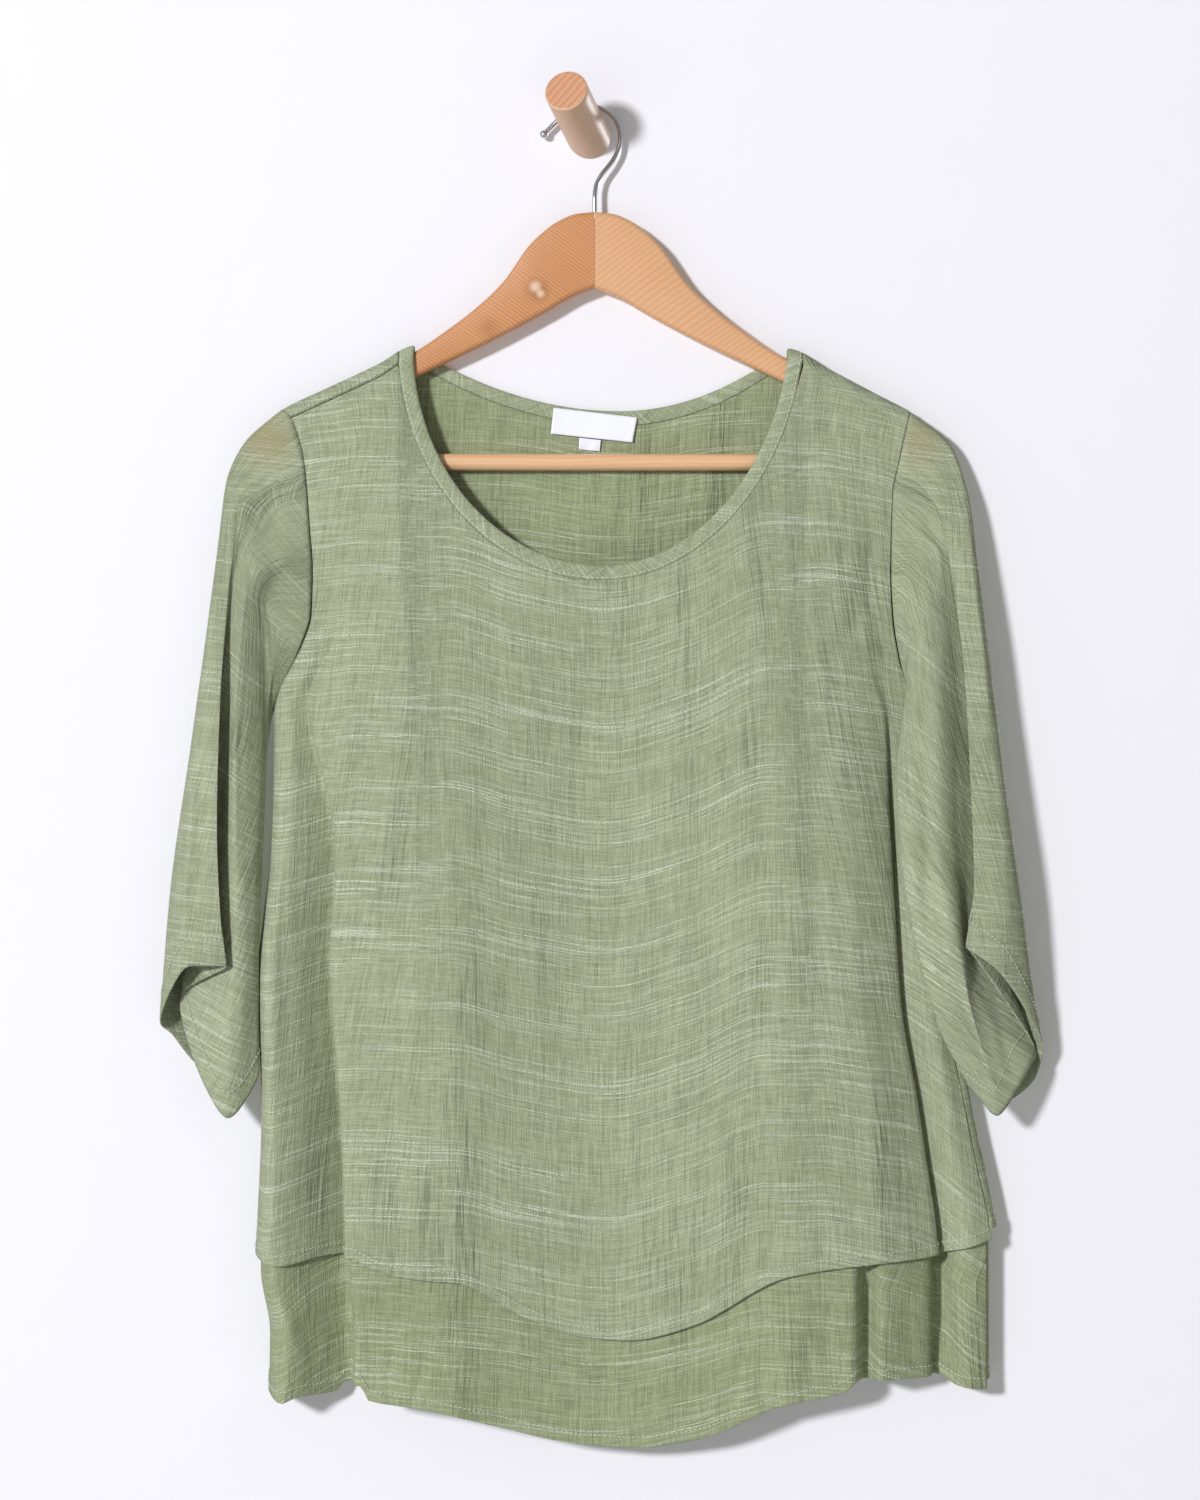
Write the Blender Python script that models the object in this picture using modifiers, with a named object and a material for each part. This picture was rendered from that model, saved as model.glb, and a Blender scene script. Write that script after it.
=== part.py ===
"""A layered top on a wooden hanger, hung on a wall peg. Blender 4.5, metres, +Z up.

The garment is laid out in millimetres in its own axes: x to the right of the hanger's middle,
height up from the top of the shoulders at the neck, and depth forward from the wall.
The object's origin is the middle of the peg's back face, where the wall holds it.
"""

import math

import bmesh
import bpy
import numpy as np
from mathutils import Matrix, Vector

MM = 0.001
PEG_BASE = (-5.9, 139.2)            # x and height of the peg's back face in the garment's axes

# Cloth
CLOTH = 1.2                         # thickness of one layer
SEAM_GAP = 0.4                      # between two pieces at a seam
ARMHOLE_GAP = 0.9                   # between a sleeve and the panels
LAYER_GAP = 0.5                     # between the two layers where they are sewn together
LAYER_HANG = 2.2                    # between the two layers where they hang free
WALL_CLEARANCE = 1.0                # from the wall to the back of the garment
BINDING_WIDTH = 10.0
BINDING_THICKNESS = 2.9
BINDING_PROUD = 0.1

# Hanger, hook and peg
HANGER_THICKNESS = 11.4
HANGER_ROUNDING = 5.0
HANGER_DEPTH = 10.4                 # from the wall to the middle of the hanger's thickness
HANGER_MIDDLE = -1.5
BAR_DIAMETER = 10.9
BAR_HEIGHT = -75.0
BAR_HALF = 196.7
WIRE_DIAMETER = 3.2
PEG_DIAMETER = 28.0
PEG_REACH = 55.0
PEG_LEAN = (-13.9, 19.6)            # how far its near end lies to the left and up
PEG_ROUNDING = 1.2

# Where the cloth turns over the hanger's upper edge
TURN_RADIUS = HANGER_DEPTH - WALL_CLEARANCE
TURN_ARC = TURN_RADIUS * math.pi / 2
SHOULDER_DROP = 15.6                # the left shoulder seam, forward of the top of the shoulder
TURN_ROWS = 7                       # rows of cloth over the hanger's edge
TURN_BLEND = 12.0                   # length of cloth below the turn that eases into the hanging depths
SEAM_TURNS = (0.81, 0.6, 0.33, 0, -0.33, -0.67)     # rows from the left seam over the top, by TURN_ARC
TOP_DROPS = (1.0, 3.0, 5.5, 8.0, 10.5, 12.6)        # rows from the right seam down, front and back
FIRST_RUNS = (0, 7, 18, 34)         # next rows, by the length of cloth below the turn or the neckline
OUTER_ROWS = (14, 9)                # rows below those, on the upper layer's front and back
UNDER_ROWS = (4, 3)                 # rows by which the under layer goes on below the upper layer
UNDER_SPARSE = 6                    # below this row the under layer's front has every other row
UNDER_SKIPS = (-3, -5)              # columns near the right turn that the under layer's back leaves out
NECK_EASE = 150.0                   # length of cloth over which a column comes back to its line
SHOULDER_TIPS = (-46.7, -48.0)      # heights of the shoulders' outer ends, left and right
HANG_START = -60.0                  # the layers part from here down
HANG_FULL = -180.0                  # and hang fully apart from here
HANG_NEAR_SIDES = 0.35              # share of the hanging gap left at the side seams
HANG_REACH = 60.0                   # distance from a side over which the full gap returns
NECK_TUCK = 0.9                     # the under layer's ends at the neck, away from the band
SIDE_TUCK = 2.6                     # the under layer's side edges, in from the upper layer's
LEAST_TUCK = (0.5, 0.0)             # share of it kept below the underarm, left and right
TUCK_REACH = 30.0                   # distance from an edge over which its tuck dies away
SHOULDER_TOP = ((-222, -50), (-205, -40.4), (-174, -26), (-142, -11), (-118, 1.5), (0, 1.5),
                (124, -0.5), (152, -14.9), (178, -28.6), (203, -41.5), (222, -52))

# Neckline: half an ellipse in front, a shallow curve behind
NECK_CENTRE = 3.6
NECK_HALF_LEFT = 122.5
NECK_HALF_RIGHT = 120.4
NECK_DROP = 142.8
NECK_RIGHT_FLAT = 4.5
NECK_START = 1 / 3                  # share of the front neckline over which its left end eases in
BACK_NECK_LOW = 15.0
BACK_NECK_DROP = 41.0
BACK_NECK_SPAN = 134.0
BACK_NECK_SPAN_RIGHT = 109.0

# Side lines, armhole above the underarm and side seam below: (height, x)
UNDERARM = -238.0
SIDE_LEFT = ((-40, -205), (-46.7, -198), (-76, -189.6), (-120, -186), (-145, -184.5), (-175, -185.7),
             (-192, -191), (-208, -199), (-222, -206.5), (-238, -210.4), (-295, -211), (-334, -213),
             (-367, -217), (-410, -221), (-500, -218.5), (-600, -222), (-640, -216), (-690, -217))
SIDE_RIGHT = ((-41, 203), (-51, 200.7), (-73, 196), (-96, 191.5), (-148, 190.3), (-174, 191.6),
              (-206, 197), (-222, 203), (-238, 209), (-300, 214), (-370, 220), (-430, 226),
              (-485, 237), (-526, 245), (-568, 254), (-600, 258), (-640, 261), (-690, 254))
RIGHT_TURN = ((-238, 211), (-320, 224), (-420, 237), (-494, 246), (-545, 257), (-577, 262),
              (-628, 265), (-690, 259))

TURN_LINE_BLEND = 60.0              # height over which the right turn leaves the armhole's line
FREE_ARMHOLE = (-150.0, 60.0)       # the armhole's pieces part further from this height down, over this
UNDERARM_SPREAD = 1.8               # by this share more at the underarm

# Hems: (x, height)
OUTER_HEM = ((-222, -589), (-205, -594.6), (-173, -589.4), (-158, -589.4), (-145, -596), (-120, -602),
             (-90, -604.5), (-45, -628), (-12, -640), (20, -643), (60, -633.6), (118, -602),
             (132, -598.5), (181, -592.7), (215, -590), (228, -587.5), (262, -577))
INNER_HEM = ((-217, -679), (-208, -683), (-197, -679.5), (-173, -679), (-165, -672), (-154, -672),
             (-149, -681), (-109, -686.6), (-67, -697), (-12, -710), (20, -712.5), (63, -707),
             (119, -684), (159, -675.5), (168, -669), (221, -668), (235, -675), (262, -677))
HEM_MIDDLE = -600.0                 # about where the outer hem lies
SIDE_SWAY = (-120.0, 90.0)          # the under layer's hem follows the left side line from here, fully so
                                    # this much further left
BACK_HEM_RISE = 6.0                 # the back hems lie this much higher, out of sight

# Lines down the front, from the left side to the right. "top" counts along the upper edge:
# 0 to 1 is the left shoulder, 1 to 2 the neckline, 2 to 3 the right shoulder. A place is an x,
# or a distance in from the side line, at each of the heights; depths are those of the outer face.
HEIGHTS = (-30, -90, -160, -236, -320, -410, -500, -600, -700)
FRONT_LINES = (
    # name, top, from, places, depths, columns up to the next line
    ("side_left", 0.0, "left", (0,) * 9, (19.8, 20, 18, 12.9, 12.6, 12.6, 12.6, 12.6, 12.6), 1),
    ("seam_left", 0.02, "left", (1, 1, 0.6, 0.1, 0.1, 0.1, 0.1, 0.1, 0.1),
     (19.8, 20.1, 18.3, 14.4, 14.4, 14.4, 14.4, 14.4, 14.4), 1),
    ("turn_left", 0.08, "left", (3, 3, 2.5, 2.5, 2.5, 3, 3, 3, 3),
     (19.8, 20.5, 19, 17, 18.5, 19, 20, 21, 21), 2),
    ("flap_left", 0.2, "left", (8, 8, 8, 9, 13, 19, 23, 25, 25),
     (19.8, 21, 21, 19, 22, 25, 28, 30, 30), 2),
    ("lip_left", 0.34, "left", (14, 14, 13, 15, 22, 34, 41, 46, 46),
     (19.8, 21.5, 23, 21, 24, 27, 29, 30, 30), 2),
    ("valley_left", 0.46, "left", (20, 20, 19, 20, 28, 41, 48, 54, 54),
     (19.8, 22, 24, 21, 18.5, 16.5, 16, 16, 16), 2),
    ("main_left", 0.6, "left", (27, 27, 26, 27, 36, 50, 57, 66, 66),
     (19.8, 22.5, 26, 27, 30, 32, 34, 35, 35), 2),
    ("chest_left", 0.8, "left", (50, 48, 46, 50, 62, 76, 84, 92, 92),
     (19.8, 23.5, 28, 33, 37, 39.5, 41, 42, 42), 2),
    ("neck_left", 1.0, "x", (-129, -129, -126, -122, -120, -118, -116, -115, -115),
     (19.8, 24, 30, 37, 41, 43.5, 45, 45, 45), 4),
    ("ridge_left", 1.26, "x", (-98, -98, -97, -96, -95, -95, -95, -95, -95),
     (19.8, 24, 30, 38, 43, 45.5, 46.5, 46, 45), 4),
    ("centre", 1.5, "x", (5, 5, 5, 5, 5, 5, 5, 5, 5),
     (19.8, 21, 25, 28, 30, 31, 32, 34, 35), 4),
    ("ridge_right", 1.76, "x", (112, 112, 113, 115, 118, 120, 121, 122, 122),
     (19.8, 24, 30, 38, 43, 45.5, 46.5, 46, 45), 4),
    ("neck_right", 2.0, "x", (134, 134, 134, 136, 140, 143, 145, 146, 146),
     (19.8, 24, 30, 36, 40, 43, 44.5, 44.5, 44), 2),
    ("chest_right", 2.26, "right", (42, 42, 42, 46, 52, 56, 62, 80, 80),
     (19.8, 23.5, 28, 32, 36, 39, 40.5, 41, 41), 2),
    ("main_right", 2.46, "right", (24, 24, 24, 27, 31, 34, 38, 46, 46),
     (19.8, 22.5, 25, 25, 28, 31, 33, 34, 34), 2),
    ("valley_right", 2.6, "right", (17, 17, 17, 19, 23, 26, 30, 36, 36),
     (19.8, 22, 23, 20, 17.5, 16.5, 16, 16, 16), 2),
    ("lip_right", 2.72, "right", (12, 12, 12, 13, 17, 20, 23, 29, 29),
     (19.8, 21.5, 21, 17, 18, 22, 27, 29, 29), 2),
    ("flap_right", 2.84, "right", (7, 7, 7, 7, 9, 10, 12, 15, 15),
     (19.8, 21, 19.5, 16, 17, 21, 26, 28, 28), 2),
    ("seam_right", 2.98, "right", (1, 1, 0.6, 0.2, 1, 1.9, 1.9, 1.9, 1.9),
     (19.8, 20.1, 18.3, 14.2, 15, 17.8, 21.7, 23.7, 23.7), 1),
    ("side_right", 3.0, "right", (0, 0, 0, 0, 0.4, 0.6, 0.6, 0.6, 0.6),
     (19.8, 20, 18, 13.1, 14.1, 17, 21, 23, 23), 1),
)
BACK_LINES = (
    ("side_left", 0.0, "left", (0,) * 9, (1, 1, 3.5, 12.5, 12.2, 12.2, 12.2, 12.2, 12.2), 1),
    ("seam_left", 0.03, "left", (1, 1, 0.8, 0.1, 0.1, 0.1, 0.1, 0.1, 0.1),
     (1, 1, 3.3, 11, 10.7, 10.7, 10.7, 10.7, 10.7), 1),
    ("turn_left", 0.12, "left", (4, 4, 4, 3, 3, 3, 3, 3, 3), (1, 1, 2.5, 7, 6, 6, 6, 6, 6), 2),
    ("flat_left", 0.4, "left", (30, 30, 28, 28, 28, 30, 30, 30, 30), (1, 1, 1.2, 2.5, 3, 3, 3, 3, 3), 2),
    ("fold_left", 1.0, "x", (-129, -124, -118, -112, -110, -108, -106, -105, -105),
     (1, 1.2, 2.5, 5, 8, 10, 11, 12, 12), 6),
    ("hollow_left", 1.4, "x", (-66, -62, -58, -54, -50, -48, -46, -45, -45),
     (1, 1, 1.2, 1.5, 2, 2.5, 2.5, 2.5, 2.5), 3),
    ("fold_middle", 1.56, "x", (12,) * 9, (1, 1, 1.8, 4, 7, 9, 10, 11, 11), 3),
    ("hollow_right", 1.72, "x", (66, 68, 70, 72, 76, 80, 84, 86, 86),
     (1, 1, 1.2, 1.5, 2, 2.5, 2.5, 2.5, 2.5), 4),
    ("fold_right", 2.0, "x", (134, 132, 132, 134, 138, 142, 146, 150, 150),
     (1, 1.2, 2.5, 5, 7, 9, 10, 10, 10), 2),
    ("flat_right", 2.6, "right", (26, 26, 26, 24, 24, 26, 28, 34, 34), (1, 1, 1.2, 2.5, 3, 3, 3, 4, 4), 2),
    ("turn_right", 2.9, "turn", (2, 2, 2, 1, 3, 4, 5, 5, 5), (1, 1, 2.5, 6, 5.5, 6, 6, 6, 6), 2),
    ("edge_right", 2.96, "turn", (1.2, 1.2, 1.0, 0.6, 0, 0, 0, 0, 0),
     (1, 1, 3, 9, 10, 12, 14, 15, 15), 2),
    ("seam_right", 2.98, "right", (0.7, 0.7, 0.6, 0.2, -1.1, -1.8, -1.8, -1.8, -1.8),
     (1, 1, 3.3, 11, 12, 15.7, 19.7, 21.7, 21.7), 1),
    ("side_right", 3.0, "right", (0, 0, 0, 0, -0.3, -0.4, -0.4, -0.4, -0.4),
     (1, 1, 3.5, 12.4, 13.4, 16.6, 20.6, 22.6, 22.6), 1),
)
SLOT_FOLD = dict(x=177.0, half_width=11.0, depth=13.0, start=-560.0, full=-610.0)

# Lines down each sleeve, round the ring from its outer edge by the front. "arm" counts round the
# armhole: 0 is the top of the shoulder, 1 the underarm, 2 the top again by the back. Then come the
# columns up to the next line, and rows of (height, x, depth), of which the last is the cuff's edge.
SLEEVE_LEFT = (
    ("outer", 0.0, 4, ((-64, -230.5, 11), (-89, -241, 14), (-124, -245, 18), (-195, -254, 22),
                    (-262, -263, 24), (-354, -276, 25), (-438, -283, 24))),
    ("strip", 0.14, 2, ((-72, -224, 20), (-100, -240, 24), (-160, -247, 31), (-262, -255, 41),
                     (-354, -263, 44), (-401, -261, 45))),
    ("edge", 0.23, 1, ((-84, -218, 24), (-105, -234, 28), (-139, -238, 34), (-178, -241, 38),
                    (-230, -243, 42), (-308, -243.5, 46), (-373, -241, 47), (-401, -237.5, 46))),
    ("edge_back", 0.25, 1, ((-84, -217, 23), (-105, -234, 25.5), (-139, -239, 30.5), (-178, -242, 34.5),
                         (-230, -244, 38.5), (-308, -244.5, 42.5), (-373, -242, 43.5),
                         (-403, -238.5, 42.5))),
    ("under", 0.31, 1, ((-105, -224, 25), (-135, -236, 28), (-178, -245, 30), (-230, -250, 32),
                     (-308, -258, 32.5), (-373, -265, 31.5), (-424, -272, 30))),
    ("fold", 0.37, 2, ((-110, -217, 26), (-135, -228, 30), (-178, -236, 33), (-230, -240, 35),
                    (-308, -246, 36), (-373, -253, 35), (-457, -263, 33))),
    ("roll", 0.45, 2, ((-120, -214, 28), (-160, -226, 34), (-243, -231, 38.5), (-308, -232, 40),
                    (-373, -233, 40.5), (-450, -237, 40), (-499.5, -238, 38))),
    ("hollow", 0.56, 2, ((-140, -206, 25), (-165, -215, 26), (-204, -216, 24), (-240, -217, 25),
                      (-310, -220, 29), (-400, -224, 33), (-486, -228, 34))),
    ("panel", 0.75, 2, ((-190, -201, 23), (-215, -210, 20), (-240, -214, 19), (-310, -218, 22),
                     (-400, -221.5, 26), (-473, -221, 29))),
    ("inner", 1.0, 2, ((-262, -215, 14), (-310, -218.5, 15), (-400, -224, 17), (-471, -223.5, 20))),
    ("back_inner", 1.3, 2, ((-200, -203, 4), (-240, -214, 5), (-310, -222, 6), (-400, -229, 6),
                         (-478, -234, 8))),
    ("back_middle", 1.6, 2, ((-130, -212, 3), (-200, -230, 4), (-310, -243, 6), (-400, -255, 5),
                          (-469, -259, 6))),
    ("back_outer", 1.86, 4, ((-75, -226, 3), (-110, -236, 6), (-200, -248, 9), (-310, -264, 11),
                          (-400, -275, 11), (-448, -276, 12))),
)
SLEEVE_RIGHT = (
    ("outer", 0.0, 4, ((-64, 230.6, 11), (-86, 238.4, 14), (-102, 242.3, 16), (-138, 246.9, 19),
                    (-191, 253.4, 22), (-275, 263.2, 24), (-360, 275, 25), (-426, 283.4, 24),
                    (-456, 289, 22))),
    ("strip", 0.14, 2, ((-75, 224, 20), (-102, 236, 26), (-138, 241, 32), (-191, 247, 38),
                     (-275, 255, 43), (-360, 264, 46), (-417, 264, 45))),
    ("edge", 0.25, 1, ((-84, 214, 24), (-105, 220, 28), (-125, 225.5, 31), (-165, 231.4, 35),
                    (-217, 236.6, 40), (-269, 239, 44), (-347, 241.5, 48), (-388, 236.6, 47))),
    ("edge_back", 0.27, 1, ((-84, 213, 23), (-105, 220, 25.5), (-125, 226, 28), (-165, 232, 31.5),
                         (-217, 237.6, 36.5), (-269, 240, 40.5), (-347, 242.5, 44.5),
                         (-390, 237.6, 43.5))),
    ("under", 0.33, 1, ((-105, 217, 26), (-135, 230, 27), (-165, 237, 29), (-217, 243, 31),
                     (-269, 248, 32), (-347, 256, 31.5), (-458, 286, 29.5))),
    ("fold", 0.39, 2, ((-110, 210, 27), (-135, 223, 30), (-165, 229, 33), (-217, 235, 36),
                    (-269, 239, 37.5), (-347, 247, 36.5), (-420, 262, 34), (-481, 274, 32.5))),
    ("roll", 0.47, 2, ((-130, 210, 30), (-165, 215, 35), (-217, 218, 38.5), (-269, 218, 41),
                    (-347, 224, 42), (-420, 238, 42.5), (-470, 252, 40), (-498, 258, 37))),
    ("inner_front", 0.62, 2, ((-165, 199, 27), (-190, 202, 32), (-236, 203, 37), (-294, 202, 40),
                           (-347, 206, 42), (-409, 219, 42), (-454, 234, 39), (-489, 248, 35))),
    ("panel", 0.8, 2, ((-215, 200, 29), (-250, 196, 34), (-294, 193.5, 36), (-347, 198, 37),
                    (-409, 211, 37), (-441, 220, 36), (-482, 242, 33))),
    ("inner", 1.0, 2, ((-254, 203, 23), (-270, 196, 29), (-294, 191.5, 31.5), (-330, 194, 32),
                    (-385, 204, 32), (-425, 221, 31.5), (-457, 231, 31), (-480, 240, 30))),
    ("back_inner", 1.18, 2, ((-225, 213, 9), (-250, 213, 24), (-294, 211, 28.5), (-347, 219, 29),
                          (-409, 234, 29), (-457, 245, 28), (-486, 250, 27))),
    ("back_middle", 1.5, 2, ((-130, 208, 3), (-190, 226, 4), (-250, 238, 7), (-320, 248, 9),
                          (-400, 258, 9), (-450, 264, 9), (-492, 264, 11))),
    ("back_outer", 1.86, 4, ((-75, 225, 3), (-110, 235, 6), (-190, 246, 9), (-275, 257, 11),
                          (-360, 268, 11), (-430, 279, 12), (-474, 286, 13))),
)
SLEEVE_ROWS = 14
SLEEVE_START = 10.0                 # a line's places count from this far below the armhole
SLEEVE_CROWDING = 1.15              # rows crowd a little toward the armhole
SLEEVE_EASE = 4                     # how fast the rings let go of the armhole's shape

# Hanger outline, upper and lower edge of the right arm outward from the middle: (distance, height)
ARM_UPPER = ((0, 87.7), (12, 86.4), (24, 81.5), (33, 75), (42, 66.5), (60, 41.5), (78, 24.5),
             (96, 10.8), (117, -3.4), (142, -16), (174, -31.2), (200, -45), (212, -54), (218, -64))
ARM_NOSE = ((218, -76), (213, -84), (204, -87), (198, -82), (197, -68))
ARM_LOWER = ((190, -60), (166, -46), (115, -19.5), (68, 3), (34, 21), (14, 32.5), (0, 38))
MITRE_GAP = 0.3

# Hook's middle line: (x, height, depth)
HOOK_PATH = ((-1.5, 88.1, 10.4), (-1.5, 97, 10), (-0.7, 105, 9), (2.3, 111.6, 8), (8.9, 119.8, 7),
             (13.8, 128.6, 6), (15.4, 137.5, 5.5), (13.4, 146.6, 5.2), (6.5, 154.4, 5), (-3.5, 158, 5),
             (-13.6, 157.2, 5), (-21.5, 152.6, 5), (-27.6, 146.6, 5), (-32.7, 141.4, 5))
HOOK_POINTS = 30
HOOK_BALL = ((1.2, 1.45), (3.0, 1.75), (4.6, 1.3), (5.4, 0.5))  # (distance on, radius by the wire's)

# Label and size tab on the inside of the back: corners as (x, height)
LABEL = ((-28.2, -39.0), (26.3, -45.4), (23.2, -61.7), (-30.1, -56.0))
SIZE_TAB = ((-11.6, -58.6), (2.6, -60.2), (1.8, -67.6), (-11.8, -66.2))
LABEL_THICKNESS = 0.8
LABEL_LIFT = 0.4
LABEL_GRID = (4, 7)                 # points down and across


def flow(xs, ys, at):
    """A smooth curve through the points that never overshoots them."""
    xs, ys, at = np.asarray(xs, float), np.asarray(ys, float), np.asarray(at, float)
    if xs[0] > xs[-1]:
        xs, ys = xs[::-1], ys[::-1]
    at = np.clip(at, xs[0], xs[-1])
    step = np.diff(xs)
    slope = np.diff(ys) / step
    same_way = slope[:-1] * slope[1:] > 0
    total = np.where(same_way, slope[:-1] + slope[1:], 1.0)
    middle = np.where(same_way, 2 * slope[:-1] * slope[1:] / total, 0.0)
    tangent = np.concatenate(([slope[0]], middle, [slope[-1]]))
    i = np.clip(np.searchsorted(xs, at, side="right") - 1, 0, len(xs) - 2)
    t = (at - xs[i]) / step[i]
    return (ys[i] * (1 + 2 * t) * (1 - t) ** 2 + ys[i + 1] * t ** 2 * (3 - 2 * t)
            + step[i] * (tangent[i] * t * (1 - t) ** 2 - tangent[i + 1] * t ** 2 * (1 - t)))


def table(rows):
    """The smooth curve through rows of (place, value)."""
    places, values = zip(*rows)
    return lambda at: flow(places, values, at)


shoulder_top = table(SHOULDER_TOP)
side_left = table(SIDE_LEFT)
side_right = table(SIDE_RIGHT)
right_turn = table(RIGHT_TURN)
outer_hem = table(OUTER_HEM)
inner_hem = table(INNER_HEM)


def height_at(x, drop):
    """Height of the cloth at a length of cloth below the top of the shoulder, front or back."""
    drop = np.abs(drop)
    angle = np.minimum(drop, TURN_ARC) / TURN_RADIUS
    return shoulder_top(x) - TURN_RADIUS * (1 - np.cos(angle)) - np.maximum(drop - TURN_ARC, 0)


def drop_at(x, height):
    """The length of cloth from the top of the shoulder down to a height."""
    fall = np.maximum(shoulder_top(x) - height, 0)
    on_turn = TURN_RADIUS * np.arccos(np.clip(1 - fall / TURN_RADIUS, -1, 1))
    return np.where(fall < TURN_RADIUS, on_turn, fall - TURN_RADIUS + TURN_ARC)


def depth_on_turn(drop):
    """Depth of the cloth where it turns over the hanger; drop is negative behind."""
    angle = np.clip(drop / TURN_RADIUS, -math.pi / 2, math.pi / 2)
    return HANGER_DEPTH + TURN_RADIUS * np.sin(angle)


def line_place(line, height):
    """The x of a body line at a height."""
    place = flow(HEIGHTS, line[3], height)
    if line[2] == "left":
        return side_left(height) + place
    if line[2] == "right":
        return side_right(height) - place
    if line[2] == "turn":
        below = np.clip((UNDERARM - height) / TURN_LINE_BLEND, 0, 1)
        return side_right(height) * (1 - below) + right_turn(height) * below - place
    return place


def neck_left(margin):
    """x of the left end of the neckline, moved outward by a margin."""
    return NECK_CENTRE - NECK_HALF_LEFT - margin


def neck_right(margin):
    """x of the right end of the neckline, moved outward by a margin."""
    return NECK_CENTRE + NECK_HALF_RIGHT + margin


def neckline(back, share, margin):
    """The neckline as (x, drop), from left to right, moved outward by a margin."""
    left, right = neck_left(margin), neck_right(margin)
    left_height = float(height_at(left, TURN_ARC if back else SHOULDER_DROP))
    right_height = float(height_at(right, TURN_ARC))
    if back:
        x = left + (right - left) * share
        span = BACK_NECK_SPAN if x < BACK_NECK_LOW else BACK_NECK_SPAN_RIGHT
        height = -BACK_NECK_DROP * (1 - ((x - BACK_NECK_LOW) / span) ** 2) - margin
        height = min(height, left_height + (right_height - left_height) * share)
        return x, -float(drop_at(x, height))
    depth = NECK_DROP + margin
    first = math.asin(-left_height / depth)
    last = math.pi - math.asin(-right_height / depth)
    angle = first + (last - first) * share
    half = (NECK_HALF_LEFT if angle < math.pi / 2 else NECK_HALF_RIGHT) + margin
    half += (1 - math.cos(first)) * half * max(0, 1 - share / NECK_START)
    x = NECK_CENTRE - half * math.cos(angle)
    if angle > math.pi / 2:
        x -= NECK_RIGHT_FLAT * max(0.0, math.sin(2 * angle - math.pi))
    return x, float(drop_at(x, -depth * math.sin(angle)))


def columns_of(lines):
    """Each column's place among the lines, and its place along the upper edge."""
    places = [i + j / line[5] for i, line in enumerate(lines[:-1]) for j in range(line[5])]
    places.append(len(lines) - 1)
    tops = np.interp(places, np.arange(len(lines)), [line[1] for line in lines])
    return places, tops


def depth_on(lines, place, height, drop):
    """Depth of a panel's outer face at a place among its lines."""
    hanging = float(flow(np.arange(len(lines)), [flow(HEIGHTS, line[4], height) for line in lines], place))
    beyond = min(1.0, max(0.0, (abs(drop) - TURN_ARC) / TURN_BLEND))
    return float(depth_on_turn(drop)) * (1 - beyond) + hanging * beyond


def turn_drops(left, back):
    """Drops of the rows over the hanger's edge, from the shoulder seam to the flat below."""
    if left and back:
        return [SHOULDER_DROP - SEAM_GAP] + [TURN_ARC * turn for turn in SEAM_TURNS]
    sign = -1 if back else 1
    return [sign * drop for drop in (SEAM_GAP / 2, *TOP_DROPS)]


def panel(lines, back, hem, rows_below):
    """Grid of a panel's outer face, rows by columns of (x, height, depth), in millimetres.

    The first rows turn over the hanger, so only the columns of a shoulder have them."""
    sign = -1 if back else 1
    index = np.arange(len(lines))
    columns = []
    for place, top in zip(*columns_of(lines)):

        def x_at(height, place=place):
            return float(flow(index, [line_place(line, height) for line in lines], place))

        if top <= 1:
            tip = float(side_left(SHOULDER_TIPS[0]))
            start_x = tip + (neck_left(BINDING_WIDTH) - tip) * top
            start_drop = -TURN_ARC if back else SHOULDER_DROP
        elif top < 2:
            start_x, start_drop = neckline(back, top - 1, BINDING_WIDTH)
        else:
            tip = float(side_right(SHOULDER_TIPS[1]))
            start_x = neck_right(BINDING_WIDTH) + (tip - neck_right(BINDING_WIDTH)) * (top - 2)
            start_drop = sign * TURN_ARC
        drops = [start_drop] * TURN_ROWS
        if top >= 2 or (back and top <= 1):
            drops = turn_drops(top <= 1, back)
        low = HEM_MIDDLE
        for _ in range(3):
            low = float(hem(x_at(low))) + (BACK_HEM_RISE if back else 0)
        fall = float(drop_at(x_at(low), low)) - abs(start_drop)
        runs = np.concatenate((FIRST_RUNS, np.linspace(FIRST_RUNS[-1], fall, rows_below + 1)[1:]))
        off = start_x - x_at(float(height_at(start_x, start_drop)))
        column = []
        for run, drop in [(0, drop) for drop in drops] + [(run, start_drop + sign * run) for run in runs]:
            x = start_x
            for _ in range(4):
                height = float(height_at(x, drop))
                x = x_at(height) + off * max(0, 1 - run / NECK_EASE) ** 3
            column.append((x, height, depth_on(lines, place, height, drop)))
        columns.append(column)
    return np.array(columns).transpose(1, 0, 2)


def without_turn(lines, back):
    """The columns of a panel that have no rows over the hanger."""
    tops = columns_of(lines)[1]
    return [c for c, top in enumerate(tops) if 1 < top < 2 or (top <= 1 and not back)]


def normals(grid, short):
    """Unit normals of a grid, on a front panel toward the wall, from the faces round each point."""
    total = np.zeros_like(grid)
    rows, columns = grid.shape[:2]
    for r in range(rows - 1):
        for c in range(columns - 1):
            if r < TURN_ROWS and (c in short or c + 1 in short):
                continue
            normal = np.cross(grid[r + 1, c + 1] - grid[r, c], grid[r + 1, c] - grid[r, c + 1])
            normal /= max(np.linalg.norm(normal), 1e-9)
            for corner in ((r, c), (r + 1, c), (r + 1, c + 1), (r, c + 1)):
                total[corner] += normal
    return total / np.maximum(np.linalg.norm(total, axis=2, keepdims=True), 1e-9)


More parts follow.
